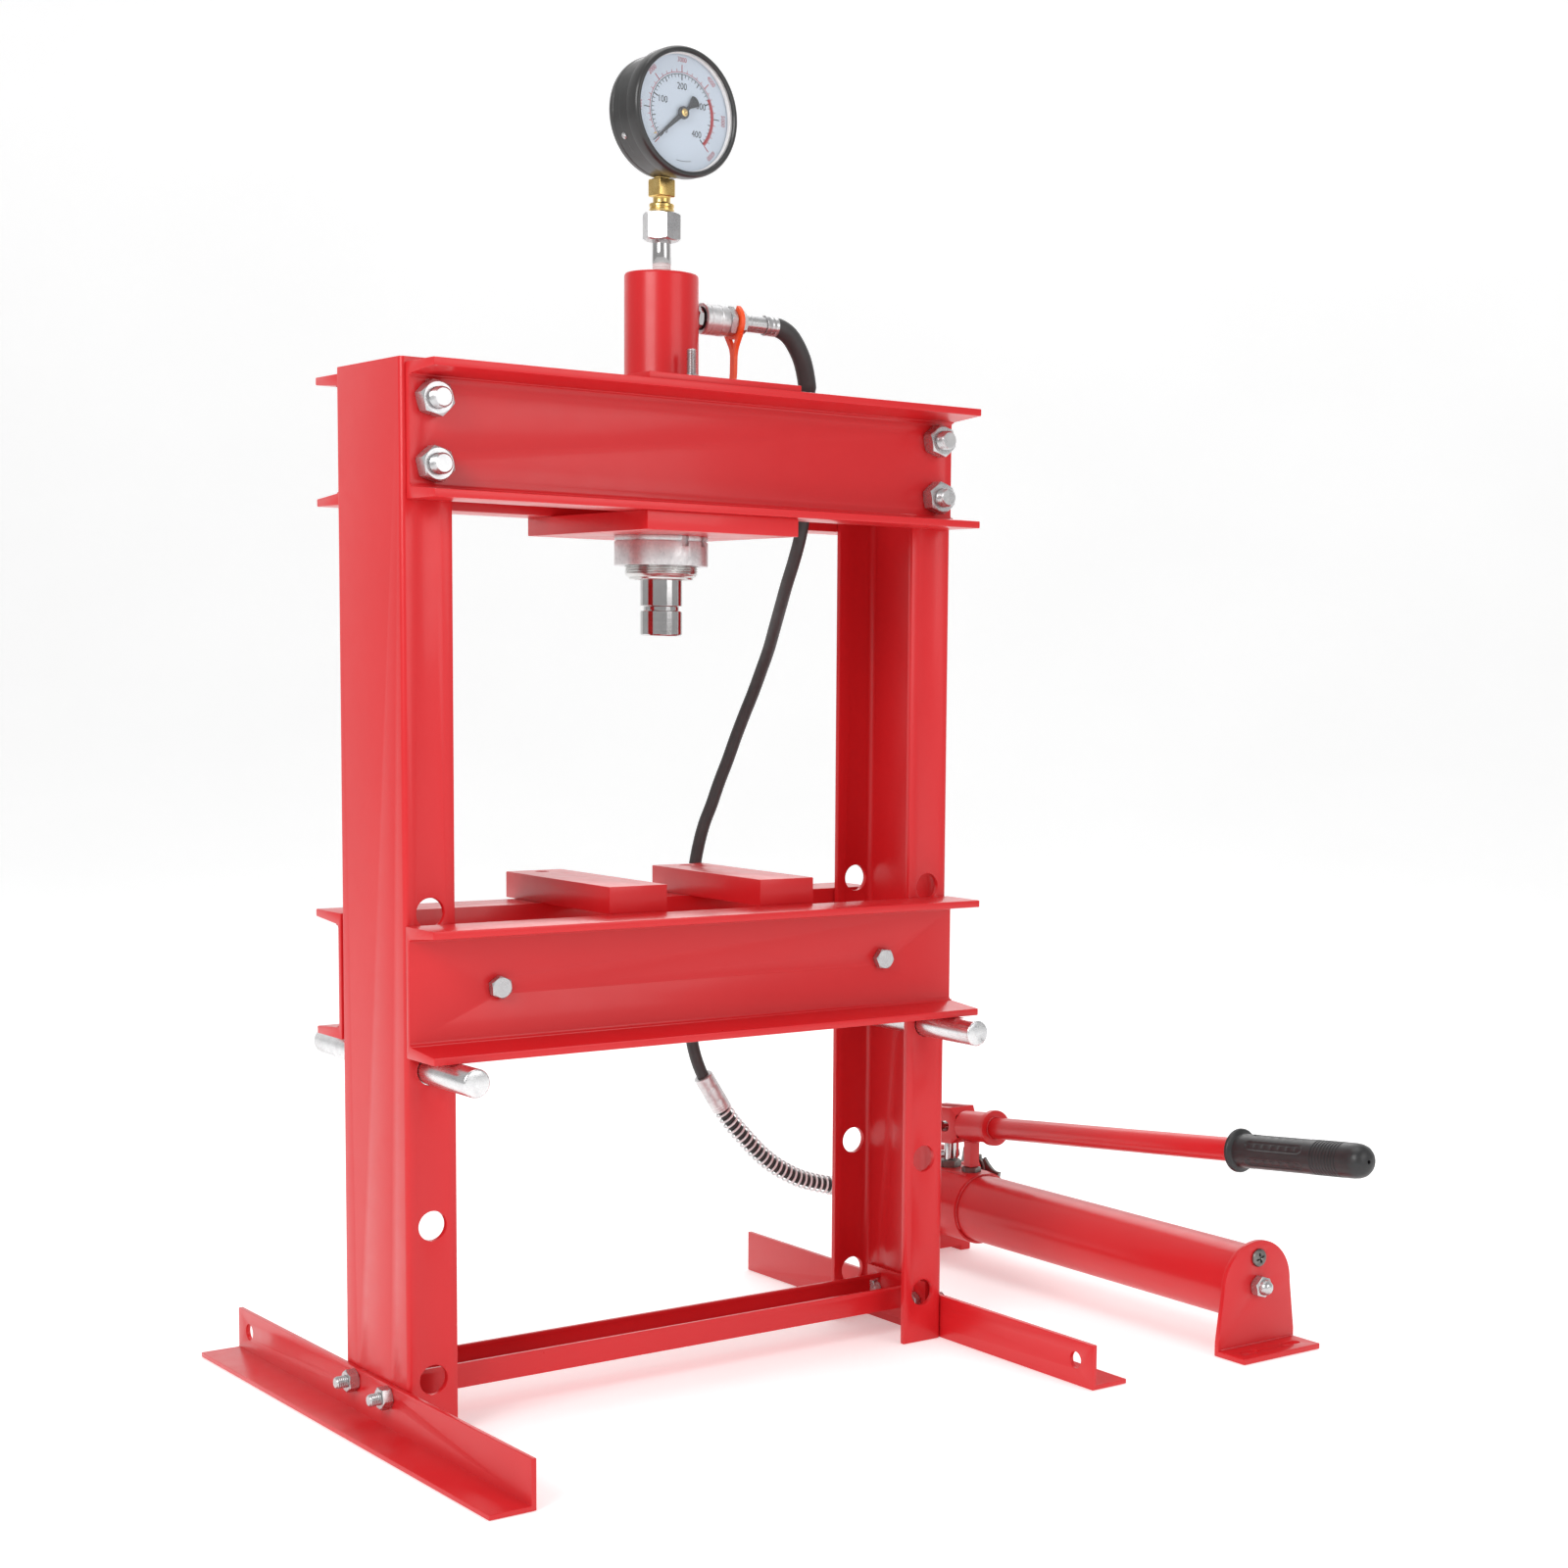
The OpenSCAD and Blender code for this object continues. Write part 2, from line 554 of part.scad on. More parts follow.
module pump_reservoir() {
  place() color("red") difference() {
    rod_y(pump_x, bracket_y, head_y0 + 9, tank_z, tank_d);
    rod_y(pump_x, bracket_y + 4, head_y0 + 10, tank_z, tank_d - 6);
    rod_y(pump_x, bracket_y - 1, bracket_y + 5, tank_z, 10.4);
    rod_y(pump_x, bracket_y - 1, bracket_y + 5, tank_z + 25, 9);
  }
}
module pump_tie_rod() {
  place() color("silver") {
    rod_y(pump_x, bracket_y - 14, head_y0 + 29, tank_z, 9.8);
    hex_y(pump_x, bracket_y - 13, bracket_y - 5, tank_z, 17);
    translate([pump_x, bracket_y - 13, tank_z]) difference() {
      sphere(d = 15);
      box(-10, 10, -1, 10, -10, 10);
    }
  }
}
module pump_bracket() {
  place() color("red") difference() {
    union() {
      rod_y(pump_x, bracket_y - 5, bracket_y, tank_z, 80);
      translate([pump_x, bracket_y, 0]) rotate([90, 0, 0]) linear_extrude(height = 5)
        polygon([[-46, 0], [46, 0], [46, 12], [40, tank_z], [-40, tank_z], [-46, 12]]);
      box(pump_x - 46, pump_x + 46, bracket_y - 38, bracket_y - 4, 0, 5);
    }
    box(pump_x - 60, pump_x + 60, -300, -200, -60, 0);
    rod_y(pump_x, bracket_y - 6, bracket_y + 1, tank_z, 10.4);
    rod_y(pump_x, bracket_y - 6, bracket_y + 1, tank_z + 25, 9);
    for (x = [-25, 25]) {
      box(pump_x + x - 6, pump_x + x + 6, bracket_y - 26.5, bracket_y - 17.5, -1, 6);
      for (e = [-6, 6]) rod_z(pump_x + x + e, bracket_y - 22, -1, 6, 9);
    }
  }
}
module pump_plugs() {
  place() color("#252525") {
    difference() {
      union() {
        rod_y(pump_x, bracket_y - 8, bracket_y - 5, tank_z + 25, 16);
        rod_y(pump_x, bracket_y - 6, bracket_y + 6, tank_z + 25, 8.8);
      }
      box(pump_x - 4.5, pump_x + 4.5, bracket_y - 9, bracket_y - 6.5, tank_z + 24.2, tank_z + 25.8);
      box(pump_x - 0.8, pump_x + 0.8, bracket_y - 9, bracket_y - 6.5, tank_z + 20.5, tank_z + 29.5);
    }
    hex_z(pump_x, 161, deck_z, deck_z + 5, 17);
    rod_z(pump_x, 161, deck_z - 9, deck_z + 1, 8);
  }
}
module pump_gland() {
  place() color("#303030") difference() {
    union() {
      rod_z(pump_x, pl_y, deck_z - 12, deck_z + 1, 20);
      hex_z(pump_x, pl_y, deck_z, deck_z + 7, 20);
    }
    rod_z(pump_x, pl_y, deck_z - 13, deck_z + 8, 12.1);
  }
}
module pump_plunger() {
  pz = ful_z + tan(handle_rise) * (ful_y - pl_y);
  place() color("lightgray") {
    rod_z(pump_x, pl_y, 48, 122, 12);
    box(pump_x - 4.6, pump_x + 4.6, pl_y - 6, pl_y + 6, 121, pz);
    rod_x(pump_x - 4.6, pump_x + 4.6, pl_y, pz, 13);
    rod_x(pump_x - 15, pump_x + 15, pl_y, pz, 8);
  }
}
module pump_links() {
  place() color("red") for (s = [-1, 1]) difference() {
    union() {
      box(pump_x + (s > 0 ? 21 : -25), pump_x + (s > 0 ? 25 : -21), ful_y - 8, ful_y + 8, deck_z + 7, ful_z);
      rod_x(pump_x + (s > 0 ? 21 : -25), pump_x + (s > 0 ? 25 : -21), ful_y, deck_z + 7, 16);
      rod_x(pump_x + (s > 0 ? 21 : -25), pump_x + (s > 0 ? 25 : -21), ful_y, ful_z, 16);
    }
    rod_x(pump_x - 30, pump_x + 30, ful_y, ful_z, 10);
    rod_x(pump_x - 30, pump_x + 30, ful_y, deck_z + 7, 8);
  }
}
module fulcrum_pin() {
  place() color("silver") {
    rod_x(pump_x - 25.5, pump_x + 25.5, ful_y, ful_z, 10);
    for (x = [-28.5, 25.5]) rod_x(pump_x + x, pump_x + x + 3, ful_y, ful_z, 14);
    rod_x(pump_x - 25.5, pump_x + 25.5, ful_y, deck_z + 7, 8);
    for (x = [-28, 25.5]) rod_x(pump_x + x, pump_x + x + 2.5, ful_y, deck_z + 7, 12);
  }
}
module handle_at() { translate([pump_x, ful_y, ful_z]) rotate([-handle_rise, 0, 0]) children(); }
module handle_socket() {
  place() color("red") handle_at() difference() {
    union() {
      rod_y(0, -98, -42, 0, 30);
      rod_y(0, -100, -94, 0, 35);
      for (s = [-1, 1]) {
        box(s > 0 ? 9 : -15, s > 0 ? 15 : -9, -44, 0, -17, 19);
        rod_x(s > 0 ? 9 : -15, s > 0 ? 15 : -9, 0, 0, 34);
      }
      box(-15, 15, -52, -44, -17, 19);
      rotate([handle_rise, 0, 0]) box(-5.5, 5.5, -66.5, -55.5, deck_z + 5.3 - ful_z, -4);
    }
    rod_y(0, -101, -60, 0, tube_d);
    rod_x(-20, 20, 0, 0, 10.1);
    box(-20, 20, -37, -26, -5.4, 5.4);
    rod_x(-20, 20, -26, 0, 10.8);
    rod_x(-20, 20, -37, 0, 10.8);
    box(-9, 9, -42, 20, -40, 40);
  }
}
module handle_tube() { place() color("red") handle_at() tube_y(0, -590, -60.5, 0, tube_d - 0.02, 16); }
module handle_grip() {
  place() color("#202020") handle_at() difference() {
    union() {
      rod_y(0, -450, -446, 0, 39);
      rod_y(0, -grip_end, -450, 0, 30);
      translate([0, -grip_end, 0]) sphere(d = 30);
    }
    rod_y(0, -590, -440, 0, tube_d);
    for (a = [0 : 60 : 300]) rotate([0, a, 0]) box(-4, 4, -535, -465, 14, 18);
    rod_z(0, -597, -20, 20, 4.5);
  }
}
module release_valve() {
  place() color("#404040") {
    rod_x(pump_x + 14, knob_x + 6, knob_y, knob_z, 10);
    rod_x(pump_x + 38.5, knob_x + 6, knob_y, knob_z, 20);
    translate([0, knob_y, knob_z]) rotate([14, 0, 0]) {
      translate([knob_x, 0, 0]) rotate([90, 0, 90]) linear_extrude(height = 6)
        polygon([[-34, -8], [-34, 4], [-12, 17], [12, 17], [34, 8], [34, -4], [12, -17], [-12, -17]]);
    }
  }
}

upright_left();
upright_right();
head_channel_front();
head_channel_rear();
head_bolts();
head_nuts();
cross_member();
foot_left();
foot_right();
foot_bolts();
foot_nuts();
top_clamp_plate();
lower_press_plate();
clamp_studs();
clamp_nuts();
ram_body();
ram_collar();
ram_gland();
ram_rod();
ram_piston();
ram_seal();
return_spring();
gauge_adapter();
gauge_stem();
gauge_case();
gauge_dial();
gauge_bezel();
gauge_lens();
gauge_works();
gauge_needle();
coupler_nipple();
coupler_sleeve();
coupler_body();
dust_cap();
hose();
hose_ends();
hose_guard();
bed_channel_front();
bed_channel_rear();
bed_bolts();
bed_spacers();
pin_left();
pin_right();
arbor_plate_left();
arbor_plate_right();
pump_head();
pump_reservoir();
pump_tie_rod();
pump_bracket();
pump_plugs();
pump_gland();
pump_plunger();
pump_links();
fulcrum_pin();
handle_socket();
handle_tube();
handle_grip();
release_valve();
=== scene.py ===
# Looks of the bench hydraulic shop press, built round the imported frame.
import bpy, bmesh, json, math, random
from mathutils import Matrix, Vector, noise
from mathutils.bvhtree import BVHTree

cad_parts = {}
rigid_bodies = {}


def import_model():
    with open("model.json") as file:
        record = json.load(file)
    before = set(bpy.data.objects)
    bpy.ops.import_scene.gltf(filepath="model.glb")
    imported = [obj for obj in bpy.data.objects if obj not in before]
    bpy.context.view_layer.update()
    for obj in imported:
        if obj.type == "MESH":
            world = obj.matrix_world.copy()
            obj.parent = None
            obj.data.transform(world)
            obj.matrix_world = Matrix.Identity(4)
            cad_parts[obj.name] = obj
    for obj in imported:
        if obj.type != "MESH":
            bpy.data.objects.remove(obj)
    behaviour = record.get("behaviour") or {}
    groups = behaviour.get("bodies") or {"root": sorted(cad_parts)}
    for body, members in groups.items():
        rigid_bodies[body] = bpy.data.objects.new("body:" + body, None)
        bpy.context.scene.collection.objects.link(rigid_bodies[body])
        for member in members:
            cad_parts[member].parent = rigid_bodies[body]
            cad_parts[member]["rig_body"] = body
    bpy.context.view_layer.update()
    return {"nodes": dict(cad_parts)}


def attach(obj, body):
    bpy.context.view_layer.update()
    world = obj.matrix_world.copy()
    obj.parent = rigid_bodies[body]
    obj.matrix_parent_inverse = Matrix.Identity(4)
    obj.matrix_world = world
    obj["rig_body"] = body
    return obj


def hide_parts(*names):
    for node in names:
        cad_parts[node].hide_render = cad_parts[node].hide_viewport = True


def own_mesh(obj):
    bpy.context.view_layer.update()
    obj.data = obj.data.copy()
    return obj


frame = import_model()

# mm, origin between the uprights on the floor  ->  metres in the frame
MX, MY = 105.5, -57.19521759330553


def P(x, y, z):
    return Vector(((x - MX) / 1000.0, (y - MY) / 1000.0, z / 1000.0))


PI = math.pi


# ---------------------------------------------------------------- camera
def add_camera():
    yaw, pitch, roll = math.radians(39.5), math.radians(-5.63), math.radians(0.92)
    fwd = Vector((math.sin(yaw) * math.cos(pitch), math.cos(yaw) * math.cos(pitch), math.sin(pitch)))
    right0 = Vector((math.cos(yaw), -math.sin(yaw), 0))
    up0 = right0.cross(fwd)
    r = right0 * math.cos(roll) + up0 * math.sin(roll)
    u = -right0 * math.sin(roll) + up0 * math.cos(roll)
    cam = bpy.data.cameras.new("camera")
    cam.sensor_width = 36.0
    cam.sensor_fit = "HORIZONTAL"
    cam.lens = 2597.33 / 1600.0 * 36.0
    cam.shift_x = (800 - 1059.1) / 1600.0
    cam.shift_y = (934.93 - 800) / 1600.0
    cam.clip_start, cam.clip_end = 0.05, 50
    o = bpy.data.objects.new("camera", cam)
    m = Matrix.Identity(4)
    for i in range(3):
        m[i][0], m[i][1], m[i][2] = r[i], u[i], -fwd[i]
    m.translation = P(-1095.08, -1820.47, 597.28)
    o.matrix_world = m
    bpy.context.scene.collection.objects.link(o)
    bpy.context.scene.camera = o


add_camera()


# ---------------------------------------------------------------- materials
class Mat:
    """Small helper that wires nodes of one material."""

    def __init__(self, name):
        self.m = bpy.data.materials.new(name)
        self.m.use_nodes = True
        self.t = self.m.node_tree
        self.t.nodes.clear()
        self.out = self.t.nodes.new("ShaderNodeOutputMaterial")
        self.b = self.t.nodes.new("ShaderNodeBsdfPrincipled")
        self.t.links.new(self.b.outputs[0], self.out.inputs[0])
        self.co = self.t.nodes.new("ShaderNodeTexCoord").outputs["Object"]

    def link(self, a, b):
        self.t.links.new(a, b)

    def set(self, name, value):
        self.b.inputs[name].default_value = value

    def scaled(self, s):
        n = self.t.nodes.new("ShaderNodeMapping")
        n.inputs["Scale"].default_value = s
        self.link(self.co, n.inputs["Vector"])
        return n.outputs[0]

    def noise(self, scale, detail=3.0, rough=0.5, vec=None, dist=0.0):
        n = self.t.nodes.new("ShaderNodeTexNoise")
        n.inputs["Scale"].default_value = scale
        n.inputs["Detail"].default_value = detail
        n.inputs["Roughness"].default_value = rough
        n.inputs["Distortion"].default_value = dist
        self.link(vec or self.co, n.inputs["Vector"])
        return n.outputs["Fac"]

    def voronoi(self, scale, out="Distance", vec=None):
        n = self.t.nodes.new("ShaderNodeTexVoronoi")
        n.inputs["Scale"].default_value = scale
        self.link(vec or self.co, n.inputs["Vector"])
        return n.outputs[out]

    def ramp(self, fac, stops):
        n = self.t.nodes.new("ShaderNodeValToRGB")
        e = n.color_ramp.elements
        e[0].position, e[0].color = stops[0][0], (*stops[0][1], 1)
        e[1].position, e[1].color = stops[-1][0], (*stops[-1][1], 1)
        for p, c in stops[1:-1]:
            x = e.new(p)
            x.color = (*c, 1)
        self.link(fac, n.inputs["Fac"])
        return n.outputs["Color"]

    def mapr(self, fac, a, b, c, d):
        n = self.t.nodes.new("ShaderNodeMapRange")
        for k, v in zip(("From Min", "From Max", "To Min", "To Max"), (a, b, c, d)):
            n.inputs[k].default_value = v
        self.link(fac, n.inputs["Value"])
        return n.outputs[0]

    def math(self, op, a, b):
        n = self.t.nodes.new("ShaderNodeMath")
        n.operation = op
        for i, v in enumerate((a, b)):
            if isinstance(v, (int, float)):
                n.inputs[i].default_value = v
            else:
                self.link(v, n.inputs[i])
        return n.outputs[0]

    def mix(self, fac, a, b):
        n = self.t.nodes.new("ShaderNodeMix")
        n.data_type = "RGBA"
        for s, v in (("A", a), ("B", b)):
            i = [x for x in n.inputs if x.name == s and x.type == "RGBA"][0]
            if isinstance(v, tuple):
                i.default_value = (*v, 1)
            else:
                self.link(v, i)
        f = [x for x in n.inputs if x.name == "Factor" and x.type == "VALUE"][0]
        if isinstance(fac, (int, float)):
            f.default_value = fac
        else:
            self.link(fac, f)
        return [x for x in n.outputs if x.type == "RGBA"][0]

    def bump(self, height, dist, strength=1.0, chain=None):
        n = self.t.nodes.new("ShaderNodeBump")
        n.inputs["Strength"].default_value = strength
        n.inputs["Distance"].default_value = dist
        self.link(height, n.inputs["Height"])
        if chain is not None:
            self.link(chain, n.inputs["Normal"])
        return n.outputs[0]

    def color(self, c):
        self.link(c, self.b.inputs["Base Color"])

    def rough(self, r):
        self.link(r, self.b.inputs["Roughness"])

    def normal(self, n):
        self.link(n, self.b.inputs["Normal"])

    def axis(self, i):
        n = self.t.nodes.new("ShaderNodeSeparateXYZ")
        self.link(self.co, n.inputs[0])
        return n.outputs[i]


def red_paint():
    m = Mat("red_paint")
    big = m.noise(3.2, 4, 0.55)
    fine = m.noise(55, 3, 0.6)
    base = m.ramp(big, [(0.25, (0.590, 0.0130, 0.0170)), (0.5, (0.620, 0.0150, 0.0190)), (0.78, (0.650, 0.0175, 0.0220))])
    m.color(base)
    m.rough(m.mapr(fine, 0.2, 0.8, 0.27, 0.37))
    peel = m.noise(620, 2, 0.5)
    wave = m.noise(30, 2, 0.5)
    m.normal(m.bump(peel, 0.00005, 0.30, m.bump(wave, 0.0004, 0.06)))
    m.set("Coat Weight", 0.12)
    m.set("Coat Roughness", 0.12)
    m.set("Specular IOR Level", 0.36)
    return m.m


def metal(name, c0, c1, r0, r1, scale=90, grain=0.00004, dirt=None, spangle=0.0, streak=None, met=1.0):
    m = Mat(name)
    n = m.noise(scale, 4, 0.6)
    base = m.ramp(n, [(0.3, c0), (0.72, c1)])
    if spangle:
        cell = m.voronoi(430, "Color")
        grey = m.t.nodes.new("ShaderNodeRGBToBW")
        m.link(cell, grey.inputs[0])
        s = grey.outputs[0]
        base = m.mix(m.mapr(s, 0.1, 0.9, 0.0, spangle), base, tuple(min(1, x * 1.35) for x in c1))
    if dirt:
        d = m.ramp(m.noise(24, 5, 0.65), [(0.56, (0, 0, 0)), (0.72, (1, 1, 1))])
        base = m.mix(m.math("MULTIPLY", d, dirt), base, tuple(x * 0.55 for x in c0))
    m.color(base)
    m.set("Metallic", met)
    src = m.noise(scale * 2.3, 3, 0.6)
    if streak is not None:
        src = m.noise(1.0, 3, 0.7, m.scaled(streak))
    m.rough(m.mapr(src, 0.25, 0.75, r0, r1))
    h = m.noise(scale * 9, 2, 0.6) if streak is None else m.noise(1.0, 2, 0.6, m.scaled(streak))
    m.normal(m.bump(h, grain, 0.6))
    return m.m


def plastic(name, c, r0, r1, grain_scale=900, grain=0.00005, spec=0.5, vary=0.25, coat=0.0):
    m = Mat(name)
    n = m.noise(60, 4, 0.6)
    m.color(m.ramp(n, [(0.3, tuple(x * (1 - vary) for x in c)), (0.75, tuple(min(1, x * (1 + vary)) for x in c))]))
    m.rough(m.mapr(m.noise(180, 3, 0.6), 0.25, 0.75, r0, r1))
    m.normal(m.bump(m.noise(grain_scale, 2, 0.55), grain, 0.6))
    m.set("Specular IOR Level", spec)
    if coat:
        m.set("Coat Weight", coat)
        m.set("Coat Roughness", 0.15)
    return m.m


M = {}
M["red_paint"] = red_paint()
M["zinc"] = metal("zinc", (0.48, 0.48, 0.49), (0.60, 0.60, 0.60), 0.22, 0.34, 60, 0.000004, dirt=0.12, met=0.85)
M["zinc_cast"] = metal("zinc_cast", (0.56, 0.56, 0.57), (0.68, 0.68, 0.68), 0.30, 0.44, 120, 0.000012, dirt=0.08, spangle=0.35, met=0.75)
M["pin_steel"] = metal("pin_steel", (0.62, 0.62, 0.63), (0.80, 0.80, 0.80), 0.20, 0.34, 90, 0.000006, dirt=0.12, streak=(420, 18, 420))
M["turned_steel"] = metal("turned_steel", (0.56, 0.55, 0.54), (0.72, 0.71, 0.70), 0.16, 0.28, 80, 0.000006, dirt=0.10, streak=(20, 20, 2400))
M["chrome_rod"] = metal("chrome_rod", (0.50, 0.49, 0.49), (0.60, 0.59, 0.59), 0.07, 0.14, 60, 0.000002, streak=(14, 14, 1800))
M["steel_dark"] = metal("steel_dark", (0.20, 0.19, 0.18), (0.34, 0.32, 0.31), 0.28, 0.46, 160, 0.00008, dirt=0.3)
M["cast_dark"] = metal("cast_dark", (0.13, 0.125, 0.12), (0.27, 0.26, 0.245), 0.32, 0.48, 120, 0.00004, dirt=0.2)
M["spring_wire"] = metal("spring_wire", (0.82, 0.82, 0.83), (0.92, 0.92, 0.92), 0.30, 0.42, 80, 0.000003, met=0.55)
M["brass"] = metal("brass", (0.66, 0.43, 0.13), (0.86, 0.63, 0.26), 0.20, 0.32, 80, 0.000004, dirt=0.1)
M["black_case"] = plastic("black_case", (0.022, 0.022, 0.022), 0.30, 0.42, 500, 0.00006, coat=0.25)
M["black_rubber"] = plastic("black_rubber", (0.048, 0.047, 0.047), 0.42, 0.56, 700, 0.00003, 0.4, 0.12)
M["black_plastic"] = plastic("black_plastic", (0.020, 0.020, 0.021), 0.30, 0.46, 1100, 0.0001, 0.5)
M["orange_plastic"] = plastic("orange_plastic", (0.92, 0.10, 0.020), 0.26, 0.40, 500, 0.00004, 0.5, 0.08)
M["needle_black"] = plastic("needle_black", (0.012, 0.014, 0.020), 0.30, 0.42, 600, 0.00002, 0.5)
M["ink_black"] = plastic("ink_black", (0.008, 0.009, 0.012), 0.45, 0.6, 900, 0.00001, 0.3)
M["ink_red"] = plastic("ink_red", (0.36, 0.008, 0.014), 0.45, 0.6, 900, 0.00001, 0.3)
M["dial_face"] = plastic("dial_face", (0.54, 0.61, 0.70), 0.42, 0.52, 900, 0.00002, 0.4, 0.03)
M["tape"] = plastic("tape", (0.80, 0.78, 0.77), 0.45, 0.6, 600, 0.0001, 0.4, 0.06)


def weld_metal():
    m = Mat("weld_paint")
    m.color(m.ramp(m.noise(160, 3, 0.6), [(0.3, (0.50, 0.012, 0.017)), (0.75, (0.66, 0.021, 0.028))]))
    m.rough(m.mapr(m.noise(200, 3, 0.6), 0.25, 0.75, 0.28, 0.42))
    m.normal(m.bump(m.noise(500, 3, 0.6), 0.00025, 0.6))
    m.set("Coat Weight", 0.4)
    m.set("Coat Roughness", 0.14)
    return m.m


M["weld"] = weld_metal()


def lens():
    m = Mat("clear_lens")
    m.color(m.ramp(m.noise(30, 2, 0.5), [(0.3, (0.90, 0.94, 0.97)), (0.7, (0.96, 0.98, 1.0))]))
    m.rough(m.mapr(m.noise(60, 3, 0.6), 0.2, 0.8, 0.015, 0.05))
    m.normal(m.bump(m.noise(18, 2, 0.5), 0.0001, 0.05))
    m.set("Alpha", 0.05)
    m.set("Specular IOR Level", 0.5)
    m.m.surface_render_method = "BLENDED"
    return m.m


M["clear_lens"] = lens()


# ---------------------------------------------------------------- mesh helpers (work in mm)
def finish_mesh(name, verts, faces, mat, body, sub=(), smooth=32.0, fix=True):
    me = bpy.data.meshes.new(name)
    me.from_pydata([P(*v) for v in verts], [], faces)
    me.validate()
    bm = bmesh.new()
    bm.from_mesh(me)
    if fix:
        bmesh.ops.remove_doubles(bm, verts=bm.verts, dist=2e-6)
        bmesh.ops.recalc_face_normals(bm, faces=bm.faces)
    bm.to_mesh(me)
    bm.free()
    me.polygons.foreach_set("use_smooth", [True] * len(me.polygons))
    me.set_sharp_from_angle(angle=math.radians(smooth))
    me.materials.append(M[mat])
    o = bpy.data.objects.new(name, me)
    bpy.context.scene.collection.objects.link(o)
    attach(o, body)
    if sub:
        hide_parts(*([sub] if isinstance(sub, str) else sub))
    return o


class Build:
    """Gathers closed shells of one piece."""

    def __init__(self):
        self.v, self.f = [], []

    def add(self, verts, faces):
        b = len(self.v)
        self.v += [tuple(v) for v in verts]
        self.f += [tuple(i + b for i in f) for f in faces]
        return self


def axis_frame(o, d, hint=None):
    """4x4 whose Z runs along d from o."""
    d = Vector(d).normalized()
    h = Vector(hint) if hint is not None else (Vector((0, 0, 1)) if abs(d.z) < 0.9 else Vector((0, 1, 0)))
    x = (h - d * h.dot(d)).normalized()
    y = d.cross(x)
    m = Matrix.Identity(4)
    for i in range(3):
        m[i][0], m[i][1], m[i][2] = x[i], y[i], d[i]
    m.translation = Vector(o)
    return m


def revolve(B, m, prof, n=64, closed=False):
    """prof: (r, z) pairs. An open profile starts and ends on the axis; a closed one is a ring."""
    verts, rings = [], []
    for r, z in prof:
        if r < 1e-6:
            rings.append([len(verts)])
            verts.append(m @ Vector((0, 0, z)))
        else:
            rings.append(list(range(len(verts), len(verts) + n)))
            for k in range(n):
                a = 2 * PI * k / n
                verts.append(m @ Vector((r * math.cos(a), r * math.sin(a), z)))
    faces = []
    pairs = list(zip(rings, rings[1:])) + ([(rings[-1], rings[0])] if closed else [])
    for a, b in pairs:
        for k in range(n):
            k2 = (k + 1) % n
            if len(a) == 1 and len(b) == 1:
                continue
            if len(a) == 1:
                faces.append((a[0], b[k2], b[k]))
            elif len(b) == 1:
                faces.append((a[k], a[k2], b[0]))
            else:
                faces.append((a[k], a[k2], b[k2], b[k]))
    return B.add(verts, faces)


def bar(B, m, z0, z1, r, ch=0.5, n=48, ch1=None):
    """Solid round bar with rounded edges."""
    c1 = ch if ch1 is None else ch1
    prof = [(0, z0), (r - ch, z0), (r - ch * 0.3, z0 + ch * 0.3), (r, z0 + ch), (r, z1 - c1), (r - c1 * 0.3, z1 - c1 * 0.3), (r - c1, z1), (0, z1)]
    return revolve(B, m, prof, n)


def ring(B, m, z0, z1, r, ri, ch=0.4, n=64, chi=0.25):
    prof = [(ri + chi, z0), (r - ch, z0), (r - ch * 0.3, z0 + ch * 0.3), (r, z0 + ch), (r, z1 - ch), (r - ch * 0.3, z1 - ch * 0.3), (r - ch, z1), (ri + chi, z1), (ri, z1 - chi), (ri, z0 + chi)]
    return revolve(B, m, prof, n, closed=True)


def hexnut(B, m, z0, z1, af, bore=0.0, ch0=True, ch1=True, turn=0.0, n=72, flat=0.96):
    """Hexagon with the curved chamfer of a turned nut or bolt head. Corner at angle turn."""
    rings, verts = [], []
    a0 = af / 2.0

    def rhex(t):
        t = (t % 60.0) - 30.0
        return a0 / math.cos(math.radians(t))

    rc = a0 * flat
    tan = math.tan(math.radians(30))

    def add(fn):
        idx = []
        for k in range(n):
            a = 360.0 * k / n
            r, z = fn(a)
            aa = math.radians(a + turn)
            idx.append(len(verts))
            verts.append(m @ Vector((r * math.cos(aa), r * math.sin(aa), z)))
        rings.append(idx)

    if bore > 0:
        add(lambda a: (bore, z0 + 0.6))
        add(lambda a: (bore + 0.7, z0))
    if ch0:
        add(lambda a: (rc, z0))
        add(lambda a: (rhex(a), z0 + max(0, rhex(a) - rc) * tan))
    else:
        add(lambda a: (rhex(a), z0))
    if ch1:
        add(lambda a: (rhex(a), z1 - max(0, rhex(a) - rc) * tan))
        add(lambda a: (rc, z1))
    else:
        add(lambda a: (rhex(a), z1))
    if bore > 0:
        add(lambda a: (bore + 0.7, z1))
        add(lambda a: (bore, z1 - 0.6))
    faces = []
    prs = list(zip(rings, rings[1:])) + ([(rings[-1], rings[0])] if bore > 0 else [])
    for a, b in prs:
        for k in range(n):
            k2 = (k + 1) % n
            faces.append((a[k], a[k2], b[k2], b[k]))
    if bore <= 0:
        c0, c1 = len(verts), len(verts) + 1
        verts += [m @ Vector((0, 0, z0)), m @ Vector((0, 0, z1))]
        for k in range(n):
            k2 = (k + 1) % n
            faces.append((c0, rings[0][k2], rings[0][k]))
            faces.append((c1, rings[-1][k], rings[-1][k2]))
    return B.add(verts, faces)


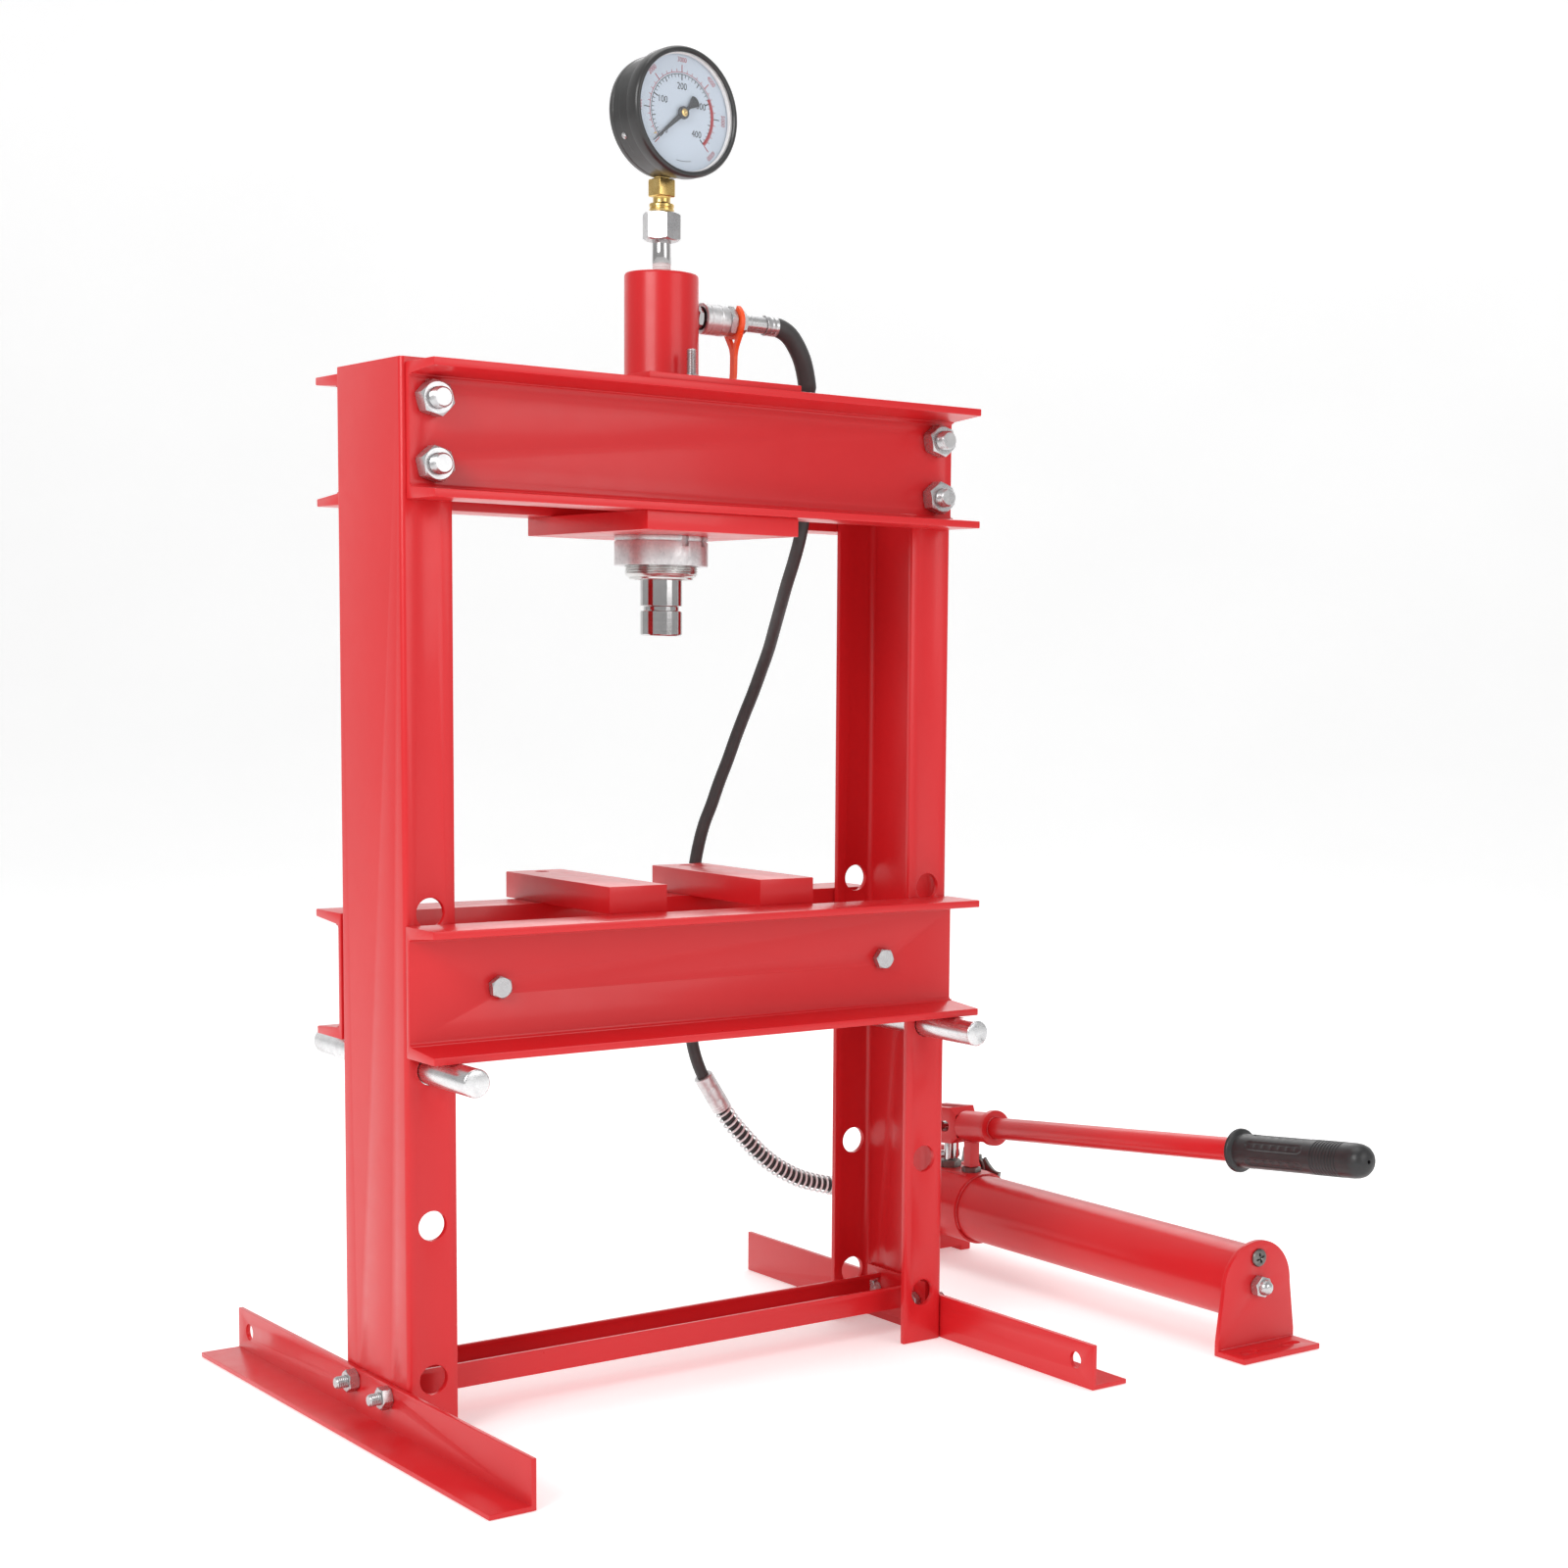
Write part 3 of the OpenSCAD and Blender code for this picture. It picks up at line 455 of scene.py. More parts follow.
def thread(B, m, z0, z1, r, pitch, depth=None, n=40, rows=6, c0=0.0, c1=1.0, cap=True):
    """Threaded bar whose surface is a true helix; the ends are chamfered."""
    depth = depth or 0.6 * pitch
    k_rows = max(4, int(round((z1 - z0) / pitch * rows)))
    verts, rings = [], []
    for i in range(k_rows + 1):
        z = z0 + (z1 - z0) * i / k_rows
        idx = []
        for k in range(n):
            a = 2 * PI * k / n
            u = (z / pitch - k / n) % 1.0
            tri = abs(2 * u - 1)
            rr = r - depth * min(1.0, max(0.0, (tri - 0.10) / 0.78))
            if c1 > 0 and z > z1 - c1:
                rr = min(rr, r - c1 + (z1 - z))
            if c0 > 0 and z < z0 + c0:
                rr = min(rr, r - c0 + (z - z0))
            idx.append(len(verts))
            verts.append(m @ Vector((rr * math.cos(a), rr * math.sin(a), z)))
        rings.append(idx)
    faces = [(a[k], a[(k + 1) % n], b[(k + 1) % n], b[k]) for a, b in zip(rings, rings[1:]) for k in range(n)]
    a, b = len(verts), len(verts) + 1
    verts += [m @ Vector((0, 0, z0)), m @ Vector((0, 0, z1))]
    for k in range(n):
        faces.append((a, rings[0][(k + 1) % n], rings[0][k]))
        faces.append((b, rings[-1][k], rings[-1][(k + 1) % n]))
    return B.add(verts, faces)


def spline(pts, k=6):
    """Catmull-Rom through the points."""
    pts = [Vector(p) for p in pts]
    out = []
    for i in range(len(pts) - 1):
        p0 = pts[i - 1] if i else pts[0] * 2 - pts[1]
        p1, p2 = pts[i], pts[i + 1]
        p3 = pts[i + 2] if i + 2 < len(pts) else pts[-1] * 2 - pts[-2]
        for j in range(k):
            t = j / k
            out.append(0.5 * ((2 * p1) + (-p0 + p2) * t + (2 * p0 - 5 * p1 + 4 * p2 - p3) * t * t + (-p0 + 3 * p1 - 3 * p2 + p3) * t ** 3))
    out.append(pts[-1].copy())
    return out


def frames_along(path):
    """Parallel transport frames."""
    n = len(path)
    tan = [(path[min(i + 1, n - 1)] - path[max(i - 1, 0)]).normalized() for i in range(n)]
    u = Vector((0, 0, 1)) if abs(tan[0].z) < 0.9 else Vector((0, 1, 0))
    u = (u - tan[0] * u.dot(tan[0])).normalized()
    res = [(u, tan[0].cross(u))]
    for i in range(1, n):
        u = (u - tan[i] * u.dot(tan[i])).normalized()
        res.append((u, tan[i].cross(u)))
    return tan, res


def sweep(B, path, radius, n=16, squash=None, cap=True):
    path = [Vector(p) for p in path]
    tan, fr = frames_along(path)
    verts, faces = [], []
    for i, p in enumerate(path):
        r = radius(i) if callable(radius) else radius
        u, w = fr[i]
        for k in range(n):
            a = 2 * PI * k / n
            verts.append(p + u * (r * math.cos(a)) + w * (r * math.sin(a)))
    for i in range(len(path) - 1):
        for k in range(n):
            k2 = (k + 1) % n
            faces.append((i * n + k, i * n + k2, (i + 1) * n + k2, (i + 1) * n + k))
    if cap:
        a, b = len(verts), len(verts) + 1
        verts += [path[0], path[-1]]
        e = (len(path) - 1) * n
        for k in range(n):
            k2 = (k + 1) % n
            faces.append((a, k2, k))
            faces.append((b, e + k, e + k2))
    return B.add(verts, faces)


def coil(B, path, R, wire, pitch, n=8, steps=20, start=0.0, pitch_at=None):
    """Wire wound round a path."""
    path = [Vector(p) for p in path]
    tan, fr = frames_along(path)
    d = [0.0]
    for a, b in zip(path, path[1:]):
        d.append(d[-1] + (b - a).length)
    total, line, s, phi, i = d[-1], [], 0.0, start, 0
    while s < total:
        while i < len(path) - 2 and d[i + 1] < s:
            i += 1
        t = (s - d[i]) / max(1e-9, d[i + 1] - d[i])
        p = path[i].lerp(path[i + 1], t)
        u = fr[i][0].lerp(fr[i + 1][0], t).normalized()
        w = fr[i][1].lerp(fr[i + 1][1], t).normalized()
        line.append(p + u * (R * math.cos(phi)) + w * (R * math.sin(phi)))
        pp = pitch_at(s / total) if pitch_at else pitch
        s += pp / steps
        phi += 2 * PI / steps
    return sweep(B, line, wire / 2, n)


def extrude_poly(B, m, pts, z0, z1, ch=0.4):
    """Convex-ish flat outline extruded along the frame's Z, with a small chamfer. pts counterclockwise."""
    n = len(pts)
    cen = Vector((sum(p[0] for p in pts) / n, sum(p[1] for p in pts) / n))
    area = sum(pts[i][0] * pts[(i + 1) % n][1] - pts[(i + 1) % n][0] * pts[i][1] for i in range(n))
    if area < 0:
        pts = list(reversed(pts))
    inner = []
    for i in range(n):
        p, q, r = Vector(pts[i - 1]), Vector(pts[i]), Vector(pts[(i + 1) % n])
        e1, e2 = (q - p).normalized(), (r - q).normalized()
        n1, n2 = Vector((-e1.y, e1.x)), Vector((-e2.y, e2.x))
        nn = n1 + n2
        k = nn.length
        if k < 1e-6:
            inner.append(q + n1 * ch)
        else:
            inner.append(q + nn * (ch * 2 / (k * k)))
    rings = [[(v.x, v.y, z0) for v in inner], [(p[0], p[1], z0 + ch) for p in pts], [(p[0], p[1], z1 - ch) for p in pts], [(v.x, v.y, z1) for v in inner]]
    verts = [m @ Vector(v) for r in rings for v in r]
    faces = []
    for j in range(3):
        for k in range(n):
            k2 = (k + 1) % n
            faces.append((j * n + k, j * n + k2, (j + 1) * n + k2, (j + 1) * n + k))
    faces.append(tuple(reversed(range(n))))
    faces.append(tuple(range(3 * n, 4 * n)))
    return B.add(verts, faces)


def rbox(B, x0, x1, y0, y1, z0, z1, ch=0.5, m=None):
    m = m or Matrix.Identity(4)
    return extrude_poly(B, m, [(x0, y0), (x1, y0), (x1, y1), (x0, y1)], z0, z1, ch)


def weld_bead(B, pts, r=1.8, step=1.9, seed=1, flat=1.0):
    """Bead with the ripples of a hand weld."""
    line = spline(pts, 2) if len(pts) > 2 else [Vector(pts[0]).lerp(Vector(pts[1]), t / 4) for t in range(5)]
    d = [0.0]
    for a, b in zip(line, line[1:]):
        d.append(d[-1] + (b - a).length)
    total = d[-1]
    out, rad, s, i = [], [], 0.0, 0
    k = 0
    while s <= total:
        while i < len(line) - 2 and d[i + 1] < s:
            i += 1
        t = (s - d[i]) / max(1e-9, d[i + 1] - d[i])
        p = line[i].lerp(line[i + 1], min(1, t))
        q = noise.noise(Vector((seed * 7.3, s * 0.35, 0.5)))
        out.append(p + Vector((0, 0, 0.12 * q)))
        e = min(1.0, s / 2.0, (total - s) / 2.0)
        rad.append(max(0.3, (r * (0.86 + 0.16 * abs(math.sin(PI * s / step)) + 0.14 * q)) * (0.35 + 0.65 * max(0, e))))
        s += step / 5.0
        k += 1
    if len(out) < 3:
        return B
    return sweep(B, out, lambda j: rad[j], 10)


# ---------------------------------------------------------------- CAD nodes that keep their shape
def skin(node, mat, width=0.6, angle=28.0, seg=2, name=None, pre=None):
    """Copy of a CAD node with welded, rounded edges; it stands for that node."""
    src = frame["nodes"][node]
    body = src["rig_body"]
    me = src.data.copy()
    bm = bmesh.new()
    bm.from_mesh(me)
    bmesh.ops.remove_doubles(bm, verts=bm.verts, dist=3e-6)
    bmesh.ops.dissolve_limit(bm, angle_limit=math.radians(0.8), verts=bm.verts, edges=bm.edges, use_dissolve_boundaries=False)
    if pre:
        pre(bm)
    tree = BVHTree.FromBMesh(bm)
    for w, clamp in ((width, False), (width * 0.6, False), (width * 0.35, False), (0.3, True), (0.12, False), (0.0, False)):
        if w <= 0:
            break
        tb = bm.copy()
        sharp = [e for e in tb.edges if len(e.link_faces) == 2 and e.calc_face_angle(0) > math.radians(angle)]
        bmesh.ops.bevel(tb, geom=sharp, offset=w / 1000.0, segments=seg, profile=0.6, affect="EDGES", clamp_overlap=clamp, miter_outer="ARC", loop_slide=True)
        far = max((tree.find_nearest(v.co)[3] or 0.0) for v in tb.verts)
        if far < w * 0.0012 + 0.00005:
            bm.free()
            bm = tb
            break
        tb.free()
    bmesh.ops.recalc_face_normals(bm, faces=bm.faces)
    bm.to_mesh(me)
    bm.free()
    for a in list(me.attributes):
        if a.name == "custom_normal":
            me.attributes.remove(a)
    me.polygons.foreach_set("use_smooth", [True] * len(me.polygons))
    me.set_sharp_from_angle(angle=math.radians(24))
    me.materials.clear()
    me.materials.append(M[mat])
    o = bpy.data.objects.new(name or node + "_skin", me)
    bpy.context.scene.collection.objects.link(o)
    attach(o, body)
    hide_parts(node)
    return o


for n_, w_ in (("upright_left", 0.7), ("upright_right", 0.7), ("head_channel_front", 0.9), ("head_channel_rear", 0.9),
               ("bed_channel_front", 0.9), ("bed_channel_rear", 0.9), ("cross_member", 0.6), ("foot_left", 0.7), ("foot_right", 0.7),
               ("top_clamp_plate", 0.6), ("lower_press_plate", 0.8), ("arbor_plate_left", 0.9), ("arbor_plate_right", 0.9),
               ("bed_spacers", 0.5), ("pump_bracket", 0.6), ("pump_links", 0.6), ("handle_tube", 0.3)):
    skin(n_, "red_paint", w_)

# ---------------------------------------------------------------- hose
route = [(98, 0, 876), (110, 0, 876), (124, 0, 870), (136, 1, 855), (143, 3, 839), (147, 5, 820),
         (148, 6, 790), (148, 8, 755), (147, 10, 722), (147, 16, 702), (150, 30, 682), (154, 46, 664),
         (160, 64, 646), (167, 84, 627), (172, 101, 608), (173, 115, 588), (171, 125, 568), (166, 131, 549),
         (159, 134, 529), (151, 135, 508), (142, 135, 488), (134, 135, 468), (126, 135, 450), (120, 135, 430),
         (116, 135, 410), (113, 135, 385), (112, 135, 355), (111, 135, 325), (111, 135, 295), (112, 135, 270),
         (116, 135, 246), (126, 135, 221), (146, 135, 190), (158, 135, 174), (171, 135, 160), (189, 135, 142),
         (209, 135, 127), (236, 135, 113), (274, 136, 102), (310, 143, 93), (344, 155, 84), (366, 170, 76),
         (384, 182, 71.5), (398, 188.5, 70), (408, 190, 70)]
K = 5
hose_path = spline(route, K)


def hose_build():
    B = sweep(Build(), hose_path, 5.5, 24)
    hose = finish_mesh("hose_tube", B.v, B.f, "black_rubber", "press_frame", "hose", 60)

    # thick sleeve over the first bend
    seg = hose_path[1 * K:int(5.0 * K) + 1]
    m = len(seg)
    B = sweep(Build(), seg, lambda i: 8.1 - 0.5 * (i / m) - (1.2 if i > m - 3 else 0) - (0.5 if i == 0 else 0), 28)
    # coil guard, wound over the hose near the pump
    sleeve = finish_mesh("hose_bend_sleeve", B.v, B.f, "black_rubber", "press_frame", (), 60)
    g = hose_path[int(32 * K) - 1:int(43 * K) + 1]

    def pt(f):
        return 2.3 if f < 0.02 or 0.525 < f < 0.55 or f > 0.985 else 6.4

    B = coil(Build(), g, 7.95, 2.1, 6.4, 10, 22, 0.4, pt)
    guard = finish_mesh("hose_guard_coil", B.v, B.f, "spring_wire", "press_frame", "hose_guard", 60)
    # ends: pressed sleeve above the guard, ferrule at the coupler, fitting at the pump
    B = Build()
    a, b = Vector(route[31]), Vector(route[32])
    mm = axis_frame(a, b - a)
    L = (b - a).length
    revolve(B, mm, [(5.6, -0.5), (8.2, -0.5), (8.8, 0.3), (8.9, 1.4), (8.9, L * 0.28), (8.75, L * 0.30), (8.9, L * 0.32), (8.9, L * 0.66), (8.75, L * 0.68), (8.9, L * 0.70), (8.9, L - 1.2), (8.5, L + 0.2), (7.6, L + 0.6), (5.6, L + 0.6)], 64, True)
    s1 = finish_mesh("hose_guard_sleeve", B.v, B.f, "zinc_cast", "press_frame", (), 32)
    B = Build()
    mx = axis_frame((0, 0, 876), (1, 0, 0))
    revolve(B, mx, [(5.6, 98.1), (8.0, 98.1), (8.4, 98.6), (8.4, 102), (8.15, 102.4), (8.4, 102.8), (8.4, 106), (8.15, 106.4), (8.4, 106.8), (8.4, 109.4), (8.0, 110), (5.6, 110)], 56, True)
    s2 = finish_mesh("hose_top_ferrule", B.v, B.f, "zinc", "press_frame", (), 32)
    B = Build()
    mp = axis_frame((0, 190, 70), (1, 0, 0))
    revolve(B, mp, [(5.6, 395), (7.6, 395), (8.0, 395.6), (8.0, 400), (7.7, 400.5), (8.0, 401), (8.0, 404), (7.7, 404.5), (8.0, 405), (8.0, 408), (5.6, 408)], 48, True)
    hexnut(B, mp, 408, 416.8, 19, 0)
    bar(B, mp, 416.8, 431, 6, 0.5)
    s3 = finish_mesh("hose_pump_fitting", B.v, B.f, "zinc", "press_frame", "hose_ends", 32)


hose_build()


# ---------------------------------------------------------------- fasteners of the frame
HW, PD = 255.0, 56.0
BEDZ = 295.1


def fasteners():
    B, N = Build(), Build()
    for s in (-1, 1):
        for x in (-233, 233):
            for z in (786, 738):
                xx = x * (-s)
                m = axis_frame((xx, s * PD, z), (0, s, 0), (0, 0, 1))
                t = (x * 7 + z * 13) % 23
                # head inside the upright flange, bolt through, threaded end out
                hexnut(B, m, -15, -5, 24, 0, turn=8 + t)
                bar(B, m, -5.2, 4, 7.9, 0.2, 32)
                thread(B, m, 3.8, 26, 7.95, 2.0, 1.15, 36, 6, 0, 1.5)
                hexnut(N, m, 5, 18, 24, 7.4, turn=8 + t)
    finish_mesh("head_bolt_set", B.v, B.f, "zinc", "press_frame", "head_bolts", 30)
    finish_mesh("head_nut_set", N.v, N.f, "zinc", "press_frame", "head_nuts", 30)
    B, N = Build(), Build()
    for s in (-1, 1):
        for y in (-30, 30):
            m = axis_frame((s * HW, y, 28.5), (s, 0, 0), (0, 0, 1))
            hexnut(B, m, -15.4, -9, 16, 0, turn=10 + y / 3)
            bar(B, m, -9.2, 3, 4.9, 0.2, 28)
            thread(B, m, 2.8, 21, 4.95, 1.5, 0.85, 32, 6, 0, 1.2)
            hexnut(N, m, 4, 12.4, 16, 4.5, turn=14 - y / 3 + (6 if s > 0 else 0))
    finish_mesh("foot_bolt_set", B.v, B.f, "zinc", "press_frame", "foot_bolts", 30)
    finish_mesh("foot_nut_set", N.v, N.f, "zinc", "press_frame", "foot_nuts", 30)
    B = Build()
    by = PD + 1.5
    for i, x in enumerate((-181, 181)):
        m = axis_frame((x, -by - 5, BEDZ + 50), (0, -1, 0), (0, 0, 1))
        hexnut(B, m, 0.4, 6.4, 16, 0, ch0=False, turn=6 + 17 * i)
        ring(B, m, 0.0, 0.6, 7.4, 4.9, 0.1)
        m = axis_frame((x, -by - 5.2, BEDZ + 50), (0, 1, 0), (0, 0, 1))
        bar(B, m, 0, 2 * by + 12, 4.9, 0.2, 28)
        thread(B, m, 2 * by + 11.8, 2 * by + 23, 4.95, 1.5, 0.85, 32, 6, 0, 1.2)
        hexnut(B, m, 2 * by + 10.2, 2 * by + 18.6, 16, 0, turn=20 + 9 * i)
    finish_mesh("bed_bolt_set", B.v, B.f, "zinc", "bed", "bed_bolts", 30)
    for nm, x in (("pin_left", -234), ("pin_right", 234)):
        B = Build()
        m = axis_frame((x, 0, 284), (0, 1, 0), (0, 0, 1))
        revolve(B, m, [(0, -130.5), (9.3, -130.5), (10.1, -130.2), (10.7, -129.5), (11.0, -128.6), (11.0, -60), (11.0, 60), (11.0, 132.6), (10.7, 133.6), (10.1, 134.2), (9.3, 134.5), (0, 134.5)], 72)
        finish_mesh(nm + "_bar", B.v, B.f, "pin_steel", nm, nm, 40)
    # clamp studs and nuts
    B, N = Build(), Build()
    for y in (-46, 46):
        m = axis_frame((0, y, 0), (0, 0, 1), (1, 0, 0))
        hexnut(B, m, 697.5, 703, 13, 0, ch1=False, turn=15)
        bar(B, m, 703, 800, 3.95, 0.2, 28)
        thread(B, m, 799.8, 844, 3.98, 1.25, 0.7, 28, 6, 0, 1.0)
        hexnut(N, m, 817, 823.5, 13, 3.7, turn=15 + y / 5)
    finish_mesh("clamp_stud_set", B.v, B.f, "zinc", "press_frame", "clamp_studs", 30)
    finish_mesh("clamp_nut_set", N.v, N.f, "zinc", "press_frame", "clamp_nuts", 30)


fasteners()


# ---------------------------------------------------------------- ram
def ram():
    m = axis_frame((0, 0, 0), (0, 0, 1), (1, 0, 0))
    B = Build()
    revolve(B, m, [(23.0, 696.5), (29.4, 696.5), (30, 697.2), (30, 904.6), (29.7, 905.8), (29.0, 906.7), (28.2, 907), (7.0, 907), (6.2, 906.4), (6.2, 891), (21.6, 891), (21.6, 697)], 128, True)
    finish_mesh("ram_body_paint", B.v, B.f, "red_paint", "press_frame", "ram_body", 30)
    # threaded lower end with its open ring face
    B = Build()
    n, rows, pitch, depth = 96, 8, 2.0, 1.15
    verts, faces, rings = [], [], []
    z0, z1 = 665.3, 697.5
    k_rows = int((z1 - z0) / pitch * rows)
    for i in range(k_rows + 1):
        z = z0 + (z1 - z0) * i / k_rows
        idx = []
        for k in range(n):
            a = 2 * PI * k / n
            tri = abs(2 * ((z / pitch - k / n) % 1.0) - 1)
            rr = 29.9 - depth * min(1.0, max(0.0, (tri - 0.12) / 0.76))
            rr = min(rr, 28.6 + (z - z0) * 0.9)
            idx.append(len(verts))
            verts.append((rr * math.cos(a), rr * math.sin(a), z))
        rings.append(idx)
    for prof in ((27.6, z1), (23.1, z1), (23.1, 662.4), (23.6, 661.9), (25.4, 661.9), (25.9, 662.3), (26.2, 663.6), (28.0, 664.6)):
        idx = []
        for k in range(n):
            a = 2 * PI * k / n
            idx.append(len(verts))
            verts.append((prof[0] * math.cos(a), prof[0] * math.sin(a), prof[1]))
        rings.append(idx)
    for a, b in zip(rings, rings[1:] + rings[:1]):
        for k in range(n):
            k2 = (k + 1) % n
            faces.append((a[k], a[k2], b[k2], b[k]))
    B.add(verts, faces)
    finish_mesh("ram_body_thread", B.v, B.f, "turned_steel", "press_frame", (), 30)
    # gland ring seen from below
    B = Build()
    revolve(B, m, [(17.06, 663.2), (17.8, 662.5), (22.2, 662.5), (22.9, 663.2), (22.9, 683.8), (17.06, 683.8), (17.06, 671), (18.4, 671), (18.4, 668), (17.06, 668)], 96, True)
    finish_mesh("ram_gland_ring", B.v, B.f, "steel_dark", "press_frame", "ram_gland", 30)
    B = Build()
    revolve(B, m, [(0, 616), (14.6, 616), (15.6, 616.15), (16.5, 616.7), (17, 617.5), (17, 636.2), (16.7, 636.5), (14.7, 636.7), (14.5, 637.0), (14.5, 640.0), (14.7, 640.3), (16.7, 640.5), (17, 640.8), (17, 840), (0, 840)], 128)
    finish_mesh("ram_rod_bar", B.v, B.f, "chrome_rod", "ram", "ram_rod", 30)
    # ring nut with spanner slots
    o = skin("ram_collar", "zinc_cast", 0.45, 26, 2, "ram_collar_ring")
    skin("ram_piston", "turned_steel", 0.3)
    skin("ram_seal", "black_rubber", 0.3)
    B = Build()
    line = [Vector((19.3 * math.cos(2 * PI * t), 19.3 * math.sin(2 * PI * t), 686.2 + 151.6 * min(1, max(0, (t - 0.35) / 7.3)) + 0.0)) for t in [i / 28.0 for i in range(0, 8 * 28 + 1)]]
    sweep(B, line, 1.45, 10)
    o = finish_mesh("return_spring_wire", B.v, B.f, "spring_wire", "press_frame", "return_spring", 60)
    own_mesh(o)


ram()


# ---------------------------------------------------------------- gauge
def gauge():
    turn = math.radians(6)
    R6 = Matrix.Rotation(turn, 4, "Z")
    gz = 1031.0
    mz = axis_frame((0, 0, 0), (0, 0, 1), (1, 0, 0))
    # steel adapter: white taped thread, polished stub, chamfered hexagon
    B = Build()
    bar(B, mz, 895, 907.6, 6.15, 0.2, 32)
    bar(B, mz, 915.4, 934, 7.6, 0.35, 56)
    finish_mesh("gauge_adapter_stub", B.v, B.f, "chrome_rod", "press_frame", (), 30)
    B = Build()
    thread(B, mz, 907.05, 915.8, 7.5, 1.8, 0.5, 48, 6, 0.3, 0.4)
    finish_mesh("gauge_adapter_tape", B.v, B.f, "tape", "press_frame", (), 40)
    B = Build()
    hexnut(B, mz, 933.5, 956, 27, 6.4, turn=15, n=96, flat=0.93)
    finish_mesh("gauge_adapter_hex", B.v, B.f, "zinc", "press_frame", "gauge_adapter", 28)
    # brass stem
    mt = R6 @ mz
    B = Build()
    bar(B, mt, 946, 957.2, 6.3, 0.3, 40)
    revolve(B, mt, [(0, 956.2), (9.2, 956.2), (9.8, 956.6), (10, 957.2), (10, 958.6), (9.5, 959.2), (9.5, 959.8), (10, 960.3), (10, 962.2), (9.6, 962.8), (8.8, 963.1), (7.2, 963.4), (7.0, 964), (7.0, 967.8), (7.4, 968.6), (0, 968.6)], 72)
    pts = []
    for cx, cy, a0 in ((6.6, 6.6, 0), (-6.6, 6.6, 90), (-6.6, -6.6, 180), (6.6, -6.6, 270)):
        for k in range(4):
            a = math.radians(a0 + 30 * k)
            pts.append((cx + 1.4 * math.cos(a), cy + 1.4 * math.sin(a)))
    extrude_poly(B, mt, pts, 968.4, 982.4, 0.7)
    bar(B, mt, 982.2, 993, 6.45, 0.3, 40)
    finish_mesh("gauge_stem_brass", B.v, B.f, "brass", "press_frame", "gauge_stem", 28)
    # face frame: local +Z looks to the front (out of the dial), +X of the dial to the right
    o = R6 @ Vector((0, -3.4, gz))
    f = R6 @ Vector((0, -1, 0))
    right = R6 @ Vector((1, 0, 0))
    m = Matrix.Identity(4)
    up = Vector((0, 0, 1))
    for i in range(3):
        m[i][0], m[i][1], m[i][2] = right[i], up[i], f[i]
    m.translation = o
    # case: pressed cup, open to the front
    B = Build()
    revolve(B, m, [(0, -13), (30, -13), (31, -12.2), (41, -12.2), (45.2, -11.4), (47.2, -9.4), (48, -6.6), (48, -4.0), (47.75, -3.6), (47.75, 4.6), (48, 5.0), (48, 20.5), (47.4, 21.6), (46.0, 21.6), (45.6, 20.0), (45.6, -8.6), (43.0, -10.4), (0, -10.4)], 128)
    finish_mesh("gauge_case_cup", B.v, B.f, "black_case", "press_frame", "gauge_case", 26)
    B = Build()
    ms = axis_frame(m @ Vector((-42.7, -21.8, 5)), m.to_3x3() @ Vector((-0.89, -0.456, 0)))
    revolve(B, ms, [(0, -0.6), (2.3, -0.6), (2.7, 0), (2.5, 0.9), (1.6, 1.5), (0.7, 1.55), (0.6, 0.9), (0, 0.9)], 32)
    finish_mesh("gauge_case_screw", B.v, B.f, "zinc", "press_frame", (), 30)
    # bezel with rolled lip
    B = Build()
    revolve(B, m, [(48.3, 17.8), (50.0, 17.8), (50.8, 18.5), (51, 19.5), (51, 27.4), (50.7, 29.2), (49.9, 30.6), (48.9, 31.3), (47.9, 31.5), (46.9, 31.3), (46.3, 30.6), (46.0, 29.9), (46.0, 29.35), (47.9, 29.3), (48.1, 28.8), (48.1, 18.2)], 160, True)
    finish_mesh("gauge_bezel_ring", B.v, B.f, "black_case", "press_frame", "gauge_bezel", 30)
    B = Build()
    revolve(B, m, [(45.3, 24.0), (47.5, 24.0), (47.5, 27.4), (45.8, 27.4), (45.3, 26.9)], 128, True)
    finish_mesh("gauge_inner_ring", B.v, B.f, "tape", "press_frame", (), 30)
    B = Build()
    revolve(B, m, [(0, 27.8), (47.3, 27.8), (47.5, 28.0), (47.5, 29.1), (47.3, 29.2), (20, 29.27), (0, 29.3)], 96)
    finish_mesh("gauge_lens_glass", B.v, B.f, "clear_lens", "press_frame", "gauge_lens", 30)
    # dial plate
    B = Build()
    revolve(B, m, [(3.5, 22.9), (47.4, 22.9), (47.6, 22.7), (47.6, 21.9), (3.5, 21.9)], 128, True)
    dial = finish_mesh("gauge_dial_plate", B.v, B.f, "dial_face", "press_frame", "gauge_dial", 30)
    skin("gauge_works", "brass", 0.25)

    z = 23.02

    def quad_line(B, a, r0, r1, w):
        t = math.radians(a)
        c, s = math.cos(t), math.sin(t)
        pts = [(r0 * c - w / 2 * s, r0 * s + w / 2 * c), (r0 * c + w / 2 * s, r0 * s - w / 2 * c), (r1 * c + w / 2 * s, r1 * s - w / 2 * c), (r1 * c - w / 2 * s, r1 * s + w / 2 * c)]
        v = [m @ Vector((x, y, zz)) for zz in (z - 0.14, z) for x, y in pts]
        B.add(v, [(3, 2, 1, 0), (4, 5, 6, 7), (0, 1, 5, 4), (1, 2, 6, 5), (2, 3, 7, 6), (3, 0, 4, 7)])

